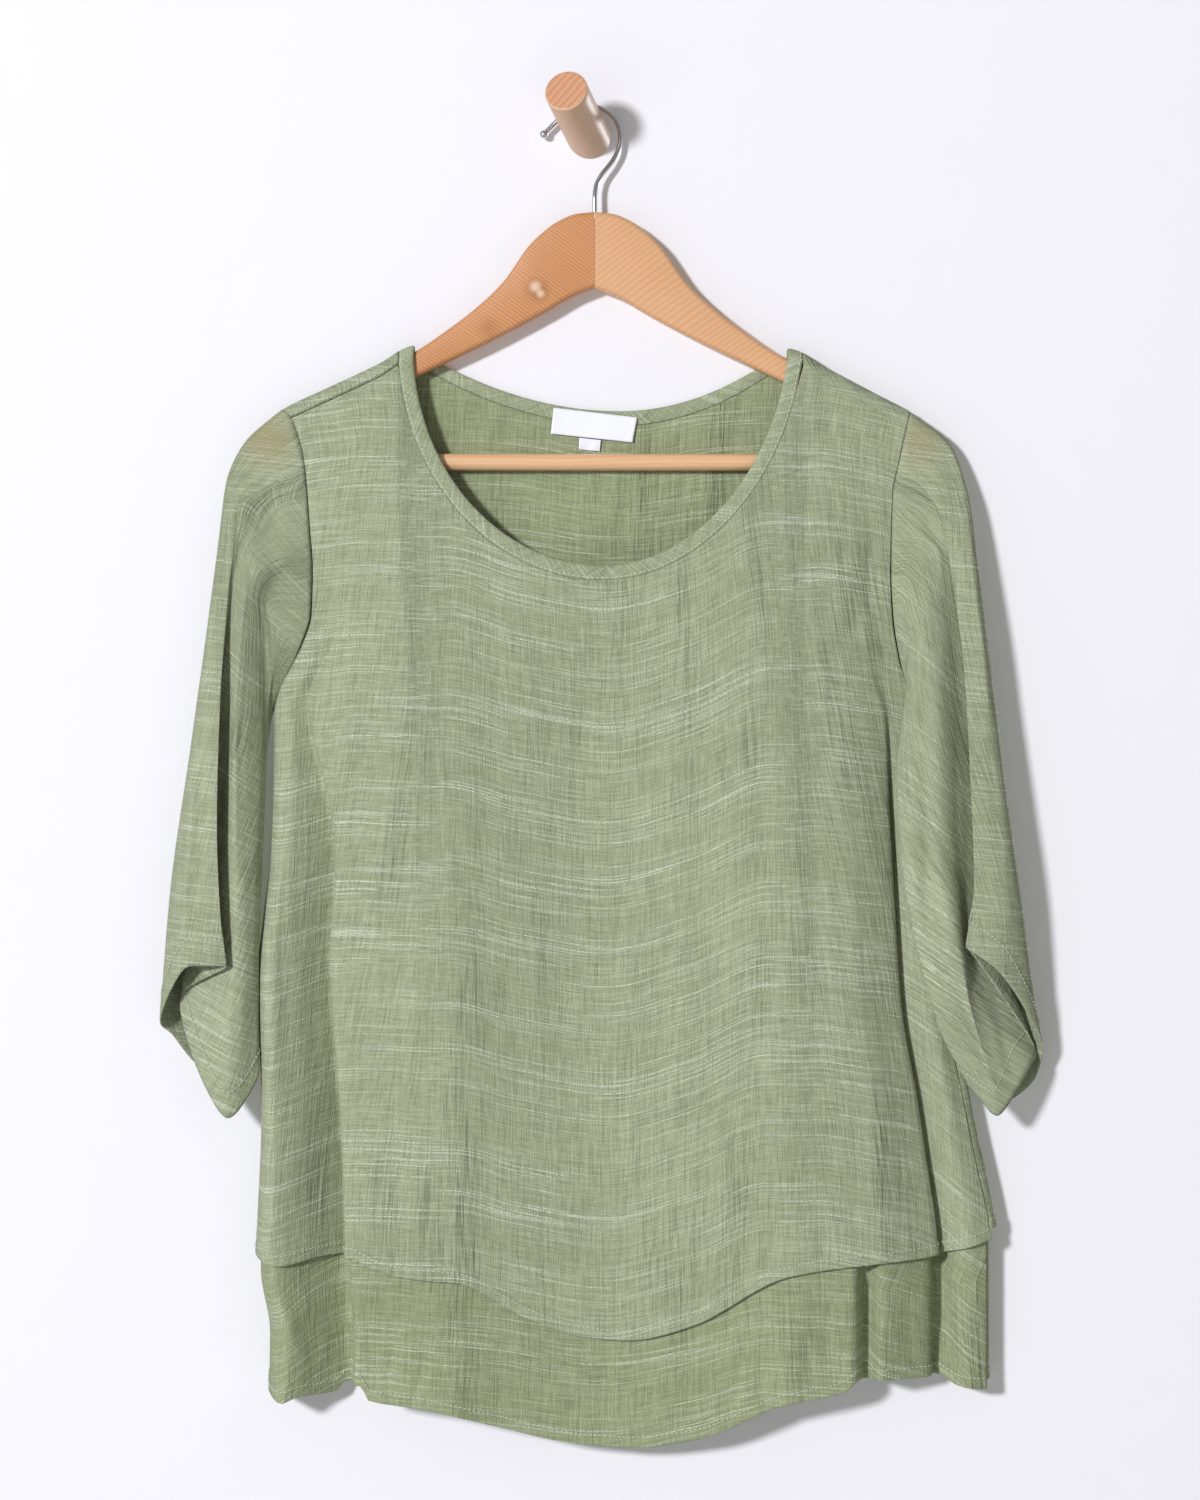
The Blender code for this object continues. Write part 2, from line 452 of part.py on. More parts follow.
def inner_layer(grid, back, rows_below, hem, short):
    """The layer beneath an outer panel: its points moved in, then carried on down to its own hem."""
    sign = -1 if back else 1
    first = TURN_ROWS + len(FIRST_RUNS)
    if back:
        grid = np.delete(np.delete(grid, first, axis=0), UNDER_SKIPS, axis=1)
    else:
        grid = np.delete(grid, [first] + list(range(first + UNDER_SPARSE, len(grid) - 1, 2)), axis=0)
    x, height = grid[:, :, 0], grid[:, :, 1]
    fall = np.clip((HANG_START - height) / (HANG_START - HANG_FULL), 0, 1)
    from_side = np.minimum(x - side_left(height), side_right(height) - x)
    hang = (LAYER_HANG - LAYER_GAP) * fall * np.clip(HANG_NEAR_SIDES + from_side / HANG_REACH,
                                                     HANG_NEAR_SIDES, 1)
    way = sign * normals(grid, short)
    way[:, -1] = way[:, -2]
    inner = grid + way * (CLOTH + LAYER_GAP + hang)[:, :, None]
    for column in range(1, grid.shape[1] - 1):
        for beside, side in ((column + 1, -1), (column - 1, 1)):
            if beside in short and column not in short:
                inner[:TURN_ROWS + 1, column, 0] += side * NECK_TUCK
    for row in inner[TURN_ROWS:]:
        for edge, side, least in ((0, 1, LEAST_TUCK[0]), (-1, -1, LEAST_TUCK[1])):
            height = row[edge, 1]
            tuck = SIDE_TUCK * max(least, min(1, (height - UNDERARM) / TUCK_REACH + 1))
            near = np.clip(1 - np.abs(row[:, 0] - row[edge, 0]) / TUCK_REACH, 0, 1)
            row[:, 0] += side * tuck * near
            below = min(1, max(0, (FREE_ARMHOLE[0] - height) / FREE_ARMHOLE[1]))
            row[edge, 2] += sign * SEAM_GAP * (2 * below if back and edge else 0.5)
    last = inner[-1]
    reach = hem(last[:, 0]) + (BACK_HEM_RISE if back else 0)
    extra = []
    for share in np.linspace(0, 1, rows_below + 1)[1:]:
        row = last.copy()
        row[:, 1] = last[:, 1] + (reach - last[:, 1]) * share
        shift = side_left(row[:, 1]) - side_left(last[:, 1])
        row[:, 0] += shift * np.clip((SIDE_SWAY[0] - last[:, 0]) / SIDE_SWAY[1], 0, 1)
        extra.append(row)
    inner = np.concatenate((inner, np.array(extra)))
    if not back:
        near = np.clip(1 - np.abs(inner[:, :, 0] - SLOT_FOLD["x"]) / SLOT_FOLD["half_width"], 0, 1)
        below = (SLOT_FOLD["start"] - inner[:, :, 1]) / (SLOT_FOLD["start"] - SLOT_FOLD["full"])
        inner[:, :, 2] -= SLOT_FOLD["depth"] * near * np.clip(below, 0, 1)
    return inner


def sleeve(lines, front, back, left):
    """Grid of a sleeve's outer face, rows from armhole to cuff, columns round the ring."""
    column = 0 if left else -1
    front_edge = front[TURN_ROWS if left else 0:, column].copy()
    back_edge = back[:, column].copy()
    for edge in (front_edge, back_edge):
        below = np.clip((FREE_ARMHOLE[0] - edge[:, 1]) / FREE_ARMHOLE[1], 0, 1)
        edge[:, 0] += (-1 if left else 1) * ARMHOLE_GAP * (1 + UNDERARM_SPREAD * below)
    loop = np.concatenate((back_edge[::-1], front_edge))
    top = int(np.argmax(loop[:, 1]))
    under_front = len(back_edge) + int(np.argmax(front_edge[:, 1] < UNDERARM))
    under_back = len(back_edge) - int(np.argmax(back_edge[:, 1] < UNDERARM)) - 1
    step = np.linalg.norm(np.diff(loop, axis=0), axis=1)
    length = np.concatenate(([0], np.cumsum(step)))
    length -= length[top]

    def at_underarm(i, j):
        share = (UNDERARM - loop[i, 1]) / (loop[j, 1] - loop[i, 1])
        return length[i] + (length[j] - length[i]) * share

    reach_front = at_underarm(under_front - 1, under_front)
    reach_back = at_underarm(under_back + 1, under_back)

    def edge_at(arm):
        at = arm * reach_front if arm <= 1 else (2 - arm) * reach_back
        return np.array([np.interp(at, length, loop[:, axis]) for axis in range(3)])

    count = len(lines)
    places = [i + j / line[2] for i, line in enumerate(lines) for j in range(line[2])]
    arms = np.interp(places, np.arange(count + 1), [line[1] for line in lines] + [2.0])
    edge = np.array([edge_at(arm) for arm in arms])
    starts = [edge_at(line[1]) for line in lines]
    index = np.arange(-1, count + 2)
    rows = []
    for row in range(SLEEVE_ROWS + 1):
        share = (row / SLEEVE_ROWS) ** SLEEVE_CROWDING
        knots = []
        for line, start in zip(lines, starts):
            further = [place for place in line[3] if place[0] < start[1] - SLEEVE_START]
            heights, xs, depths = zip((start[1], start[0], start[2]), *further)
            height = heights[0] + (heights[-1] - heights[0]) * share
            knots.append((float(flow(heights, xs, height)), height, float(flow(heights, depths, height))))
        knots = np.array([knots[-1]] + knots + [knots[0], knots[1]])
        ring = np.stack([flow(index, knots[:, axis], places) for axis in range(3)], axis=1)
        if row == 0:
            off = edge - ring
        rows.append(ring + off * (1 - share) ** SLEEVE_EASE)
    return np.array(rows)


def to_world(point):
    """Blender's position of (x, height, depth)."""
    x, height, depth = point
    return Vector(((x - PEG_BASE[0]) * MM, -depth * MM, (height - PEG_BASE[1]) * MM))


def finish(colour, roughness=0.9, metallic=0.0):
    """A plain material."""
    material = bpy.data.materials.new("finish")
    material.use_nodes = True
    shader = material.node_tree.nodes["Principled BSDF"]
    shader.inputs["Base Color"].default_value = (*colour, 1)
    shader.inputs["Roughness"].default_value = roughness
    shader.inputs["Metallic"].default_value = metallic
    return material


def add(name, mesh, material):
    """An object with a mesh in the garment's collection."""
    mesh.materials.append(material)
    piece = bpy.data.objects.new(name, mesh)
    bpy.data.collections["layered_top"].objects.link(piece)
    return piece


def sheet(name, grid, material, outward, thickness=CLOTH, closed=False, short=()):
    """A cloth piece: an open surface through a grid of points, thickened inward.

    The columns named in short have no rows over the hanger."""
    rows, columns = grid.shape[:2]
    body = bmesh.new()
    points = {(r, c): body.verts.new(to_world(grid[r, c])) for r in range(rows) for c in range(columns)
              if r >= TURN_ROWS or c not in short}
    for r in range(rows - 1):
        for c in range(columns if closed else columns - 1):
            n = (c + 1) % columns
            corners = ((r, c), (r + 1, c), (r + 1, n), (r, n))
            if all(corner in points for corner in corners):
                face = [points[corner] for corner in corners]
                body.faces.new(face if outward > 0 else face[::-1])
    for face in body.faces:
        face.smooth = True
    mesh = bpy.data.meshes.new(name)
    body.to_mesh(mesh)
    body.free()
    piece = add(name, mesh, material)
    shell = piece.modifiers.new("cloth", "SOLIDIFY")
    shell.thickness = thickness * MM
    shell.offset = -1
    return piece


def binding_grid():
    """The band round the neck: points of its outer face, across its width and all the way round."""
    grid = []
    for margin in (0.0, BINDING_WIDTH / 2, BINDING_WIDTH - SEAM_GAP):
        ring = []
        for back, lines in ((False, FRONT_LINES), (True, BACK_LINES)):
            stations = []
            for place, top in zip(*columns_of(lines)):
                if 1 <= top <= 2:
                    x, drop = neckline(back, top - 1, margin)
                    height = float(height_at(x, drop))
                    stations.append((x, height, depth_on(lines, place, height, drop)))
            if back:
                stations = stations[::-1]
            ring += stations
            x = (neck_left if back else neck_right)(margin)
            if back:
                drops = turn_drops(True, True)[:0:-1]
            else:
                drops = turn_drops(False, False)[:0:-1] + turn_drops(False, True)[1:]
            ring += [(x, float(height_at(x, drop)), float(depth_on_turn(drop))) for drop in drops]
        grid.append(ring)
    return np.array(grid)


def build_cloth():
    """The garment's sewn pieces."""
    outer = finish((0.33, 0.40, 0.25))
    under = finish((0.27, 0.34, 0.20))
    front = panel(FRONT_LINES, False, outer_hem, OUTER_ROWS[0])
    back = panel(BACK_LINES, True, outer_hem, OUTER_ROWS[1])
    short_front = without_turn(FRONT_LINES, False)
    short_back = without_turn(BACK_LINES, True)
    sheet("outer_front", front, outer, 1, short=short_front)
    sheet("outer_back", back, outer, -1, short=short_back)
    inner_front = inner_layer(front, False, UNDER_ROWS[0], inner_hem, short_front)
    inner_back = inner_layer(back, True, UNDER_ROWS[1], inner_hem, short_back)
    sheet("inner_front", inner_front, under, 1, short=short_front)
    sheet("inner_back", inner_back, under, -1, short=short_back)
    sheet("sleeve_left", sleeve(SLEEVE_LEFT, front, back, True), outer, 1, closed=True)
    sheet("sleeve_right", sleeve(SLEEVE_RIGHT, front, back, False), outer, -1, closed=True)
    sheet("neck_binding", binding_grid(), outer, 1, BINDING_THICKNESS, closed=True)


def back_inside(x, height):
    """Depth of the inside of the back at a place."""
    places = [float(line_place(line, height)) for line in BACK_LINES]
    depths = [float(flow(HEIGHTS, line[4], height)) for line in BACK_LINES]
    return float(np.interp(x, places, depths)) - BINDING_PROUD + BINDING_THICKNESS


def build_label(name, corners, lift, material):
    """A flat tab on the inside of the back, following it."""
    a, b, c, d = (np.array(corner, float) for corner in corners)
    grid = []
    for v in np.linspace(0, 1, LABEL_GRID[0]):
        row = []
        for u in np.linspace(0, 1, LABEL_GRID[1]):
            x, height = (a * (1 - u) + b * u) * (1 - v) + (d * (1 - u) + c * u) * v
            row.append((x, height, back_inside(x, height) + lift + LABEL_THICKNESS))
        grid.append(row)
    sheet(name, np.array(grid), material, 1, LABEL_THICKNESS)


def build_hanger():
    """Two arms mitred in the middle, and the trouser bar between their ends."""
    shades = ((0.66, 0.33, 0.15), (0.70, 0.40, 0.21))
    for name, way, shade in (("hanger_left", -1, shades[0]), ("hanger_right", 1, shades[1])):
        outline = [(max(out, MITRE_GAP / 2), height) for out, height in ARM_UPPER + ARM_NOSE + ARM_LOWER]
        outline = [to_world((HANGER_MIDDLE + way * out, height, 0)) for out, height in outline]
        flat = bmesh.new()
        rim = [flat.verts.new(point) for point in (outline if way > 0 else outline[::-1])]
        face = flat.faces.new(rim)
        face.normal_update()
        push = bmesh.ops.extrude_face_region(flat, geom=[face])["geom"]
        moved = [part for part in push if isinstance(part, bmesh.types.BMVert)]
        bmesh.ops.translate(flat, verts=moved, vec=(0, -HANGER_THICKNESS * MM, 0))
        near = -(HANGER_DEPTH - HANGER_THICKNESS / 2) * MM
        bmesh.ops.translate(flat, verts=flat.verts[:], vec=(0, near, 0))
        bmesh.ops.recalc_face_normals(flat, faces=flat.faces[:])
        mitre = (HANGER_MIDDLE + way * MITRE_GAP / 2 - PEG_BASE[0]) * MM
        round_edges = [
            edge for edge in flat.edges
            if abs(edge.verts[0].co.y - edge.verts[1].co.y) < 1e-6
            and not all(abs(vert.co.x - mitre) < 1e-5 for vert in edge.verts)
        ]
        bmesh.ops.bevel(flat, geom=round_edges, offset=HANGER_ROUNDING * MM, segments=3,
                        profile=0.5, affect="EDGES", clamp_overlap=True)
        bmesh.ops.remove_doubles(flat, verts=flat.verts[:], dist=1e-6)
        mesh = bpy.data.meshes.new(name)
        flat.to_mesh(mesh)
        flat.free()
        add(name, mesh, finish(shade, 0.4))
    bar = bmesh.new()
    bmesh.ops.create_cone(bar, cap_ends=True, segments=20, radius1=BAR_DIAMETER / 2 * MM,
                          radius2=BAR_DIAMETER / 2 * MM, depth=2 * BAR_HALF * MM)
    bmesh.ops.transform(bar, matrix=Matrix.Rotation(math.pi / 2, 4, "Y"), verts=bar.verts[:])
    mesh = bpy.data.meshes.new("trouser_bar")
    bar.to_mesh(mesh)
    bar.free()
    piece = add("trouser_bar", mesh, finish((0.74, 0.47, 0.26), 0.45))
    piece.location = to_world((HANGER_MIDDLE, BAR_HEIGHT, HANGER_DEPTH))


def build_hook():
    """The wire hook, from the hanger's top over the peg to its ball end."""
    path = np.array(HOOK_PATH, float)
    length = np.concatenate(([0], np.cumsum(np.linalg.norm(np.diff(path, axis=0), axis=1))))
    at = np.linspace(0, length[-1], HOOK_POINTS)
    points = np.stack([flow(length, path[:, axis], at) for axis in range(3)], axis=1)
    onward = (points[-1] - points[-2]) / np.linalg.norm(points[-1] - points[-2])
    points = np.concatenate((points, [points[-1] + onward * distance for distance, _ in HOOK_BALL]))
    radii = [1.0] * HOOK_POINTS + [radius for _, radius in HOOK_BALL]
    line = bpy.data.curves.new("hook", "CURVE")
    line.dimensions = "3D"
    line.bevel_depth = WIRE_DIAMETER / 2 * MM
    line.bevel_resolution = 1
    line.use_fill_caps = True
    spline = line.splines.new("POLY")
    spline.points.add(len(points) - 1)
    for knot, point, radius in zip(spline.points, points, radii):
        knot.co = (*to_world(point), 1)
        knot.radius = radius
    piece = bpy.data.objects.new("hook", line)
    bpy.data.collections["layered_top"].objects.link(piece)
    line.materials.append(finish((0.62, 0.62, 0.63), 0.2, 1.0))


def build_peg():
    """The round wooden peg, leaning up and to the left, cut off flat at the wall."""
    axis = Vector((PEG_LEAN[0], -PEG_REACH, PEG_LEAN[1]))
    spare = PEG_DIAMETER / 2
    body = bmesh.new()
    bmesh.ops.create_cone(body, cap_ends=True, segments=40, radius1=PEG_DIAMETER / 2 * MM,
                          radius2=PEG_DIAMETER / 2 * MM, depth=(axis.length + spare) * MM)
    bmesh.ops.translate(body, verts=body.verts[:], vec=(0, 0, (axis.length - spare) / 2 * MM))
    end = [edge for edge in body.edges if all(vert.co.z > axis.length * MM * 0.9 for vert in edge.verts)]
    bmesh.ops.bevel(body, geom=end, offset=PEG_ROUNDING * MM, segments=2, profile=0.5, affect="EDGES")
    turn = axis.to_track_quat("Z", "Y").to_matrix().to_4x4()
    bmesh.ops.transform(body, matrix=turn, verts=body.verts[:])
    cut = bmesh.ops.bisect_plane(body, geom=body.verts[:] + body.edges[:] + body.faces[:],
                                 plane_co=(0, 0, 0), plane_no=(0, 1, 0), clear_outer=True)
    rim = [part for part in cut["geom_cut"] if isinstance(part, bmesh.types.BMEdge)]
    bmesh.ops.contextual_create(body, geom=rim)
    bmesh.ops.recalc_face_normals(body, faces=body.faces[:])
    mesh = bpy.data.meshes.new("wall_peg")
    body.to_mesh(mesh)
    body.free()
    add("wall_peg", mesh, finish((0.72, 0.52, 0.36), 0.6))


def main():
    """Clears the scene and builds the object."""
    for old in list(bpy.data.objects):
        bpy.data.objects.remove(old)
    bpy.context.scene.collection.children.link(bpy.data.collections.new("layered_top"))
    build_cloth()
    build_label("label", LABEL, LABEL_LIFT, finish((0.82, 0.83, 0.88), 0.6))
    build_label("size_tab", SIZE_TAB, LABEL_LIFT, finish((0.75, 0.76, 0.82), 0.6))
    build_hanger()
    build_hook()
    build_peg()


main()
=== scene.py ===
import math

import bmesh
import bpy
import numpy as np
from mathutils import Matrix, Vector


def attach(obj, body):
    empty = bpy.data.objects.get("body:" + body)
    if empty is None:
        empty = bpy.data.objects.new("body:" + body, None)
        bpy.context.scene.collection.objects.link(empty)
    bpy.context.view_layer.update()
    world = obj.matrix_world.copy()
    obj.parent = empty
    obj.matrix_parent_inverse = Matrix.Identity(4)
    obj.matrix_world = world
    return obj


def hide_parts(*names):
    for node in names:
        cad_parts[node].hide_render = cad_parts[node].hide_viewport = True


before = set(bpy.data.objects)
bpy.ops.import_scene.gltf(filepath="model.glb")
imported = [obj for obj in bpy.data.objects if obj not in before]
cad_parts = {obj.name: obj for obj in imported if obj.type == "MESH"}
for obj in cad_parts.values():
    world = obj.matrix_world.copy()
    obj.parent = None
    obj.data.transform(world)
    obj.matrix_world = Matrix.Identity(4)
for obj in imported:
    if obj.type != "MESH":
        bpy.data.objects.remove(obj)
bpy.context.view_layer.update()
print("frame loaded", sorted(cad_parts))

# Garment places are millimetres: x right of the hanger's middle, height above the shoulders,
# depth forward from the wall. The wall peg's back face is the origin.
pegBase = (-5.9, 139.2)


def toWorld(points):
    points = np.asarray(points, float)
    return np.stack(((points[..., 0] - pegBase[0]) / 1000, -points[..., 2] / 1000,
                     (points[..., 1] - pegBase[1]) / 1000), axis=-1)


def tangents(slope):
    # slopes at the points of a smooth curve that never passes its points
    sameWay = slope[:-1] * slope[1:] > 0
    total = np.where(sameWay, slope[:-1] + slope[1:], 1.0)
    middle = np.where(sameWay, 2 * slope[:-1] * slope[1:] / total, 0.0)
    return np.concatenate((slope[:1], middle, slope[-1:]))


def between(first, last, leave, reach, t, step=1.0):
    return (first * (1 + 2 * t) * (1 - t) ** 2 + last * t ** 2 * (3 - 2 * t)
            + step * (leave * t * (1 - t) ** 2 - reach * t ** 2 * (1 - t)))


def flow(xs, ys, at):
    # smooth curve through the points
    xs, ys, at = (np.asarray(values, float) for values in (xs, ys, at))
    if xs[0] > xs[-1]:
        xs, ys = xs[::-1], ys[::-1]
    at = np.clip(at, xs[0], xs[-1])
    step = np.diff(xs)
    tangent = tangents(np.diff(ys) / step)
    i = np.clip(np.searchsorted(xs, at, side="right") - 1, 0, len(xs) - 2)
    return between(ys[i], ys[i + 1], tangent[i], tangent[i + 1], (at - xs[i]) / step[i], step[i])


def flowRows(values, place):
    # the same curve down each column of values, whose rows are one apart
    tangent = tangents(np.diff(values, axis=0))
    i = np.clip(place.astype(int), 0, len(values) - 2)
    n = np.arange(values.shape[1])
    return between(values[i, n], values[i + 1, n], tangent[i, n], tangent[i + 1, n], place - i)


def curve(rows):
    places, values = zip(*rows)
    return lambda at: flow(places, values, at)


def unit(vectors):
    return vectors / np.maximum(np.linalg.norm(vectors, axis=-1, keepdims=True), 1e-9)


def lengthsAlong(points, axis=0):
    # how far each point is along its line of cloth, from 0 at the first
    steps = np.linalg.norm(np.diff(points, axis=axis), axis=-1)
    return np.concatenate((np.zeros_like(steps.take([0], axis)), np.cumsum(steps, axis)), axis)


def sample(at, length, points):
    # the places at these lengths along a line of points
    return np.stack([np.interp(at, length, points[:, axis]) for axis in range(3)], axis=-1)


def smoothRing(ring, rounds):
    for _ in range(rounds):
        ring = ring * 0.5 + (np.roll(ring, 1, axis=0) + np.roll(ring, -1, axis=0)) * 0.25
    return ring


# The body: two layers, each a front and a back panel.
body = {
    "cloth": 0.8,                   # thickness of a layer, mm
    "layerGap": 1.7,                # outer face to outer face where the layers are sewn together
    "layerHang": 3.4,               # and where they hang free
    "turnMiddle": 10.4,             # depth of the middle of the turn over the hanger
    "turnRadius": 9.4,
    "shoulderDrop": 15.6,           # the left shoulder seam lies this far forward of the top
    "turnRows": 14,
    "seamGap": 0.4,
    "columnStep": 3.4,
    "backColumnStep": 5.0,
    "rowStep": 3.6,
    "backRowStep": 5.5,
    "neckEase": 150.0,              # the panels part from their neck edge over this length
    "underarm": -238.0,
    "tipHeights": (-46.7, -48.0),   # the shoulder's ends, left and right
    "armTurn": 60.0,                # the right edge eases to the back's own line over this height
    "backHemRise": 6.0,
    "frontDip": 0.6, "backDip": 0.5,    # the sewn edges sink this far into their seams
    "hemTurn": 8.2,
    "underHemTurn": 8.6,
}
turnArc = body["turnRadius"] * math.pi / 2

shoulderTop = curve(((-222, -50), (-205, -40.4), (-174, -26), (-142, -11), (-118, 1.5), (0, 1.5),
                     (124, -0.5), (152, -14.9), (178, -28.6), (203, -41.5), (222, -52)))
sideLeft = curve(((-40, -205), (-46.7, -198), (-76, -189.6), (-120, -186), (-145, -184.5), (-175, -185.7),
                  (-192, -191), (-208, -199), (-222, -206.5), (-238, -210.4), (-295, -211), (-334, -213),
                  (-367, -217), (-410, -221), (-500, -218.5), (-600, -222), (-640, -216), (-690, -217)))
sideRight = curve(((-41, 203), (-51, 200.7), (-73, 196), (-96, 191.5), (-148, 190.3), (-174, 191.6),
                   (-206, 197), (-222, 203), (-238, 209), (-300, 214), (-370, 220), (-430, 226),
                   (-485, 237), (-526, 245), (-568, 254), (-600, 258), (-640, 261), (-690, 254)))
rightTurn = curve(((-238, 211), (-320, 224), (-420, 237), (-494, 246), (-545, 257), (-577, 262),
                   (-628, 265), (-690, 259)))
outerHem = curve(((-222, -589), (-205, -594.6), (-173, -589.4), (-158, -589.4), (-145, -596), (-120, -602),
                  (-90, -604.5), (-45, -628), (-12, -640), (20, -643), (60, -633.6), (118, -602),
                  (132, -598.5), (181, -592.7), (215, -590), (228, -587.5), (262, -577)))
innerHem = curve(((-217, -679), (-208, -683), (-197, -679.5), (-173, -679), (-165, -672), (-154, -672),
                  (-149, -681), (-109, -686.6), (-67, -697), (-12, -710), (20, -712.5), (63, -707),
                  (119, -684), (159, -675.5), (168, -669), (221, -668), (235, -675), (262, -677)))
heights = (-30, -90, -160, -236, -320, -410, -500, -600, -700)
def filled(rows):
    # the last place and the last depth of a row hold on down
    return [row[:3] + tuple(values + values[-1:] * (len(heights) - len(values)) for values in row[3:])
            for row in rows]


frontLines = filled((               # name, top, from, places, depths
    ("sideLeft", 0.0, "left", (0,), (19.8, 20, 18, 12.9, 12.6)),
    ("seamLeft", 0.02, "left", (1, 1, 0.6, 0.1), (19.8, 20.1, 18.3, 14.4)),
    ("turnLeft", 0.06, "left", (3, 3, 2.5, 2.5, 2.5, 3), (19.8, 20.5, 19, 18.5, 22, 27, 31)),
    ("flapLeft", 0.18, "left", (8, 8, 8, 8.5, 9, 9, 9, 10), (19.8, 21, 21, 21, 28, 36, 41, 42)),
    ("lipLeft", 0.26, "left", (14, 14, 13, 13, 14, 15, 16, 18), (19.8, 21.5, 22.5, 22, 27.5, 34.5, 39, 41)),
    ("curlLeft", 0.4, "left", (17, 17, 16, 18, 33, 39.5, 44.5, 51, 53),
     (19.8, 21.8, 23, 20.5, 18, 18, 18, 19)),
    ("valleyLeft", 0.46, "left", (20, 20, 19, 23, 43.5, 50.5, 55.5, 62.5, 65),
     (19.8, 22, 23.5, 19, 13, 10.5, 10)),
    ("edgeLeft", 0.48, "left", (22, 22, 21, 24, 42, 47.8, 52.2, 59.2, 61.5),
     (19.8, 22.2, 24, 24, 28, 33, 36, 37)),
    ("mainLeft", 0.58, "left", (27, 27, 26, 29, 46.5, 52.5, 57, 64.5, 67),
     (19.8, 22.5, 26, 27.5, 31.5, 36, 38.5, 39)),
    ("chestLeft", 0.8, "left", (50, 48, 46, 52, 66, 78, 84, 92),
     (19.8, 23.5, 28, 33, 37, 39.5, 41.5, 42.5)),
    ("neckLeft", 1.0, "x", (-129, -129, -126, -122, -120, -118, -116, -115),
     (19.8, 24, 30, 37, 41, 43.5, 45)),
    ("ridgeLeft", 1.26, "x", (-98, -98, -97, -96, -95), (19.8, 24, 30, 38, 43, 45.5, 46.5, 46, 45)),
    ("centre", 1.5, "x", (5,), (19.8, 21, 25, 28, 30, 31, 32, 34, 35)),
    ("ridgeRight", 1.76, "x", (112, 112, 113, 115, 118, 120, 121, 122),
     (19.8, 24, 30, 38, 43, 45.5, 46.5, 46, 45)),
    ("neckRight", 2.0, "x", (134, 134, 134, 136, 140, 143, 145, 146),
     (19.8, 24, 30, 36, 40, 43, 44.5, 44.5, 44)),
    ("chestRight", 2.26, "right", (42, 42, 42, 46, 56, 62, 66, 78, 80), (19.8, 23.5, 28, 32, 37, 40.5, 42)),
    ("mainRight", 2.44, "right", (26, 26, 26, 29, 33, 38, 43, 49),
     (19.8, 22.5, 25, 25.5, 27, 28.5, 30, 31.5, 32)),
    ("curlRight", 2.54, "right", (20, 20, 20, 22.5, 24.2, 27, 29.5, 34.5),
     (19.8, 22.2, 24, 22, 20.5, 21, 21.5, 22.5)),
    ("valleyRight", 2.6, "right", (17, 17, 17, 20.5, 25.5, 29.5, 33, 38.5),
     (19.8, 22, 23, 19, 13, 10.5, 10)),
    ("lipRight", 2.64, "right", (14.5, 14.5, 14.5, 17, 20, 22.5, 25, 29.5),
     (19.8, 21.6, 21.5, 18, 17.5, 18, 18.5, 19)),
    ("flapRight", 2.84, "right", (7, 7, 7, 7, 9, 10, 12, 15), (19.8, 21, 19.5, 16, 18, 22, 27, 29)),
    ("seamRight", 2.98, "right", (1, 1, 0.6, 0.2, 1, 1.9), (19.8, 20.1, 18.3, 14.2, 15, 17.8, 21.7, 23.7)),
    ("sideRight", 3.0, "right", (0, 0, 0, 0, 0.2, 0.3), (19.8, 20, 18, 13.1, 14.1, 17, 21, 23)),
))
backLines = filled((
    ("sideLeft", 0.0, "left", (0,), (1, 1, 3.5, 12.5, 12.2)),
    ("seamLeft", 0.03, "left", (1, 1, 0.8, 0.1), (1, 1, 3.3, 11, 10.7)),
    ("turnLeft", 0.12, "left", (4, 4, 4, 3), (1, 1, 2.5, 7, 6)),
    ("flatLeft", 0.4, "left", (30, 30, 28, 28, 28, 30), (1, 1, 1.2, 2.5, 3)),
    ("foldLeft", 1.0, "x", (-129, -124, -118, -112, -110, -108, -106, -105),
     (1, 1.2, 2.5, 5, 8, 10, 11, 12)),
    ("hollowLeft", 1.4, "x", (-66, -62, -58, -54, -50, -48, -46, -45), (1, 1, 1.2, 1.5, 2, 2.5)),
    ("foldMiddle", 1.56, "x", (12,), (1, 1, 1.8, 4, 7, 9, 10, 11)),
    ("hollowRight", 1.72, "x", (66, 68, 70, 72, 76, 80, 84, 86), (1, 1, 1.2, 1.5, 2, 2.5)),
    ("foldRight", 2.0, "x", (134, 132, 132, 134, 138, 142, 146, 150), (1, 1.2, 2.5, 5, 7, 9, 10)),
    ("flatRight", 2.6, "right", (26, 26, 26, 24, 24, 26, 28, 34), (1, 1, 1.2, 2.5, 3, 3, 3, 4)),
    ("turnRight", 2.9, "turn", (2, 2, 2, 1, 3, 4, 5), (1, 1, 2.5, 6, 5.5, 6)),
    ("edgeRight", 2.96, "turn", (1.2, 1.2, 1.0, 0.6, 0), (1, 1, 3, 9, 10, 12, 14, 15)),
    ("seamRight", 2.98, "right", (0.7, 0.7, 0.6, 0.2, -1.1, -1.8), (1, 1, 3.3, 11, 12, 15.7, 19.7, 21.7)),
    ("sideRight", 3.0, "right", (0,), (1, 1, 3.5, 12.4, 13.6, 16.8, 20.8, 22.8)),
))
neck = {"centre": 3.6, "halfLeft": 122.5, "halfRight": 120.4, "drop": 142.8, "rightFlat": 4.5,
        "backLow": 15.0, "backDrop": 41.0, "backSpan": 134.0, "backSpanRight": 109.0,
        "band": 10.0}


def heightAt(x, drop):
    drop = np.abs(drop)
    angle = np.minimum(drop, turnArc) / body["turnRadius"]
    return shoulderTop(x) - body["turnRadius"] * (1 - np.cos(angle)) - np.maximum(drop - turnArc, 0)


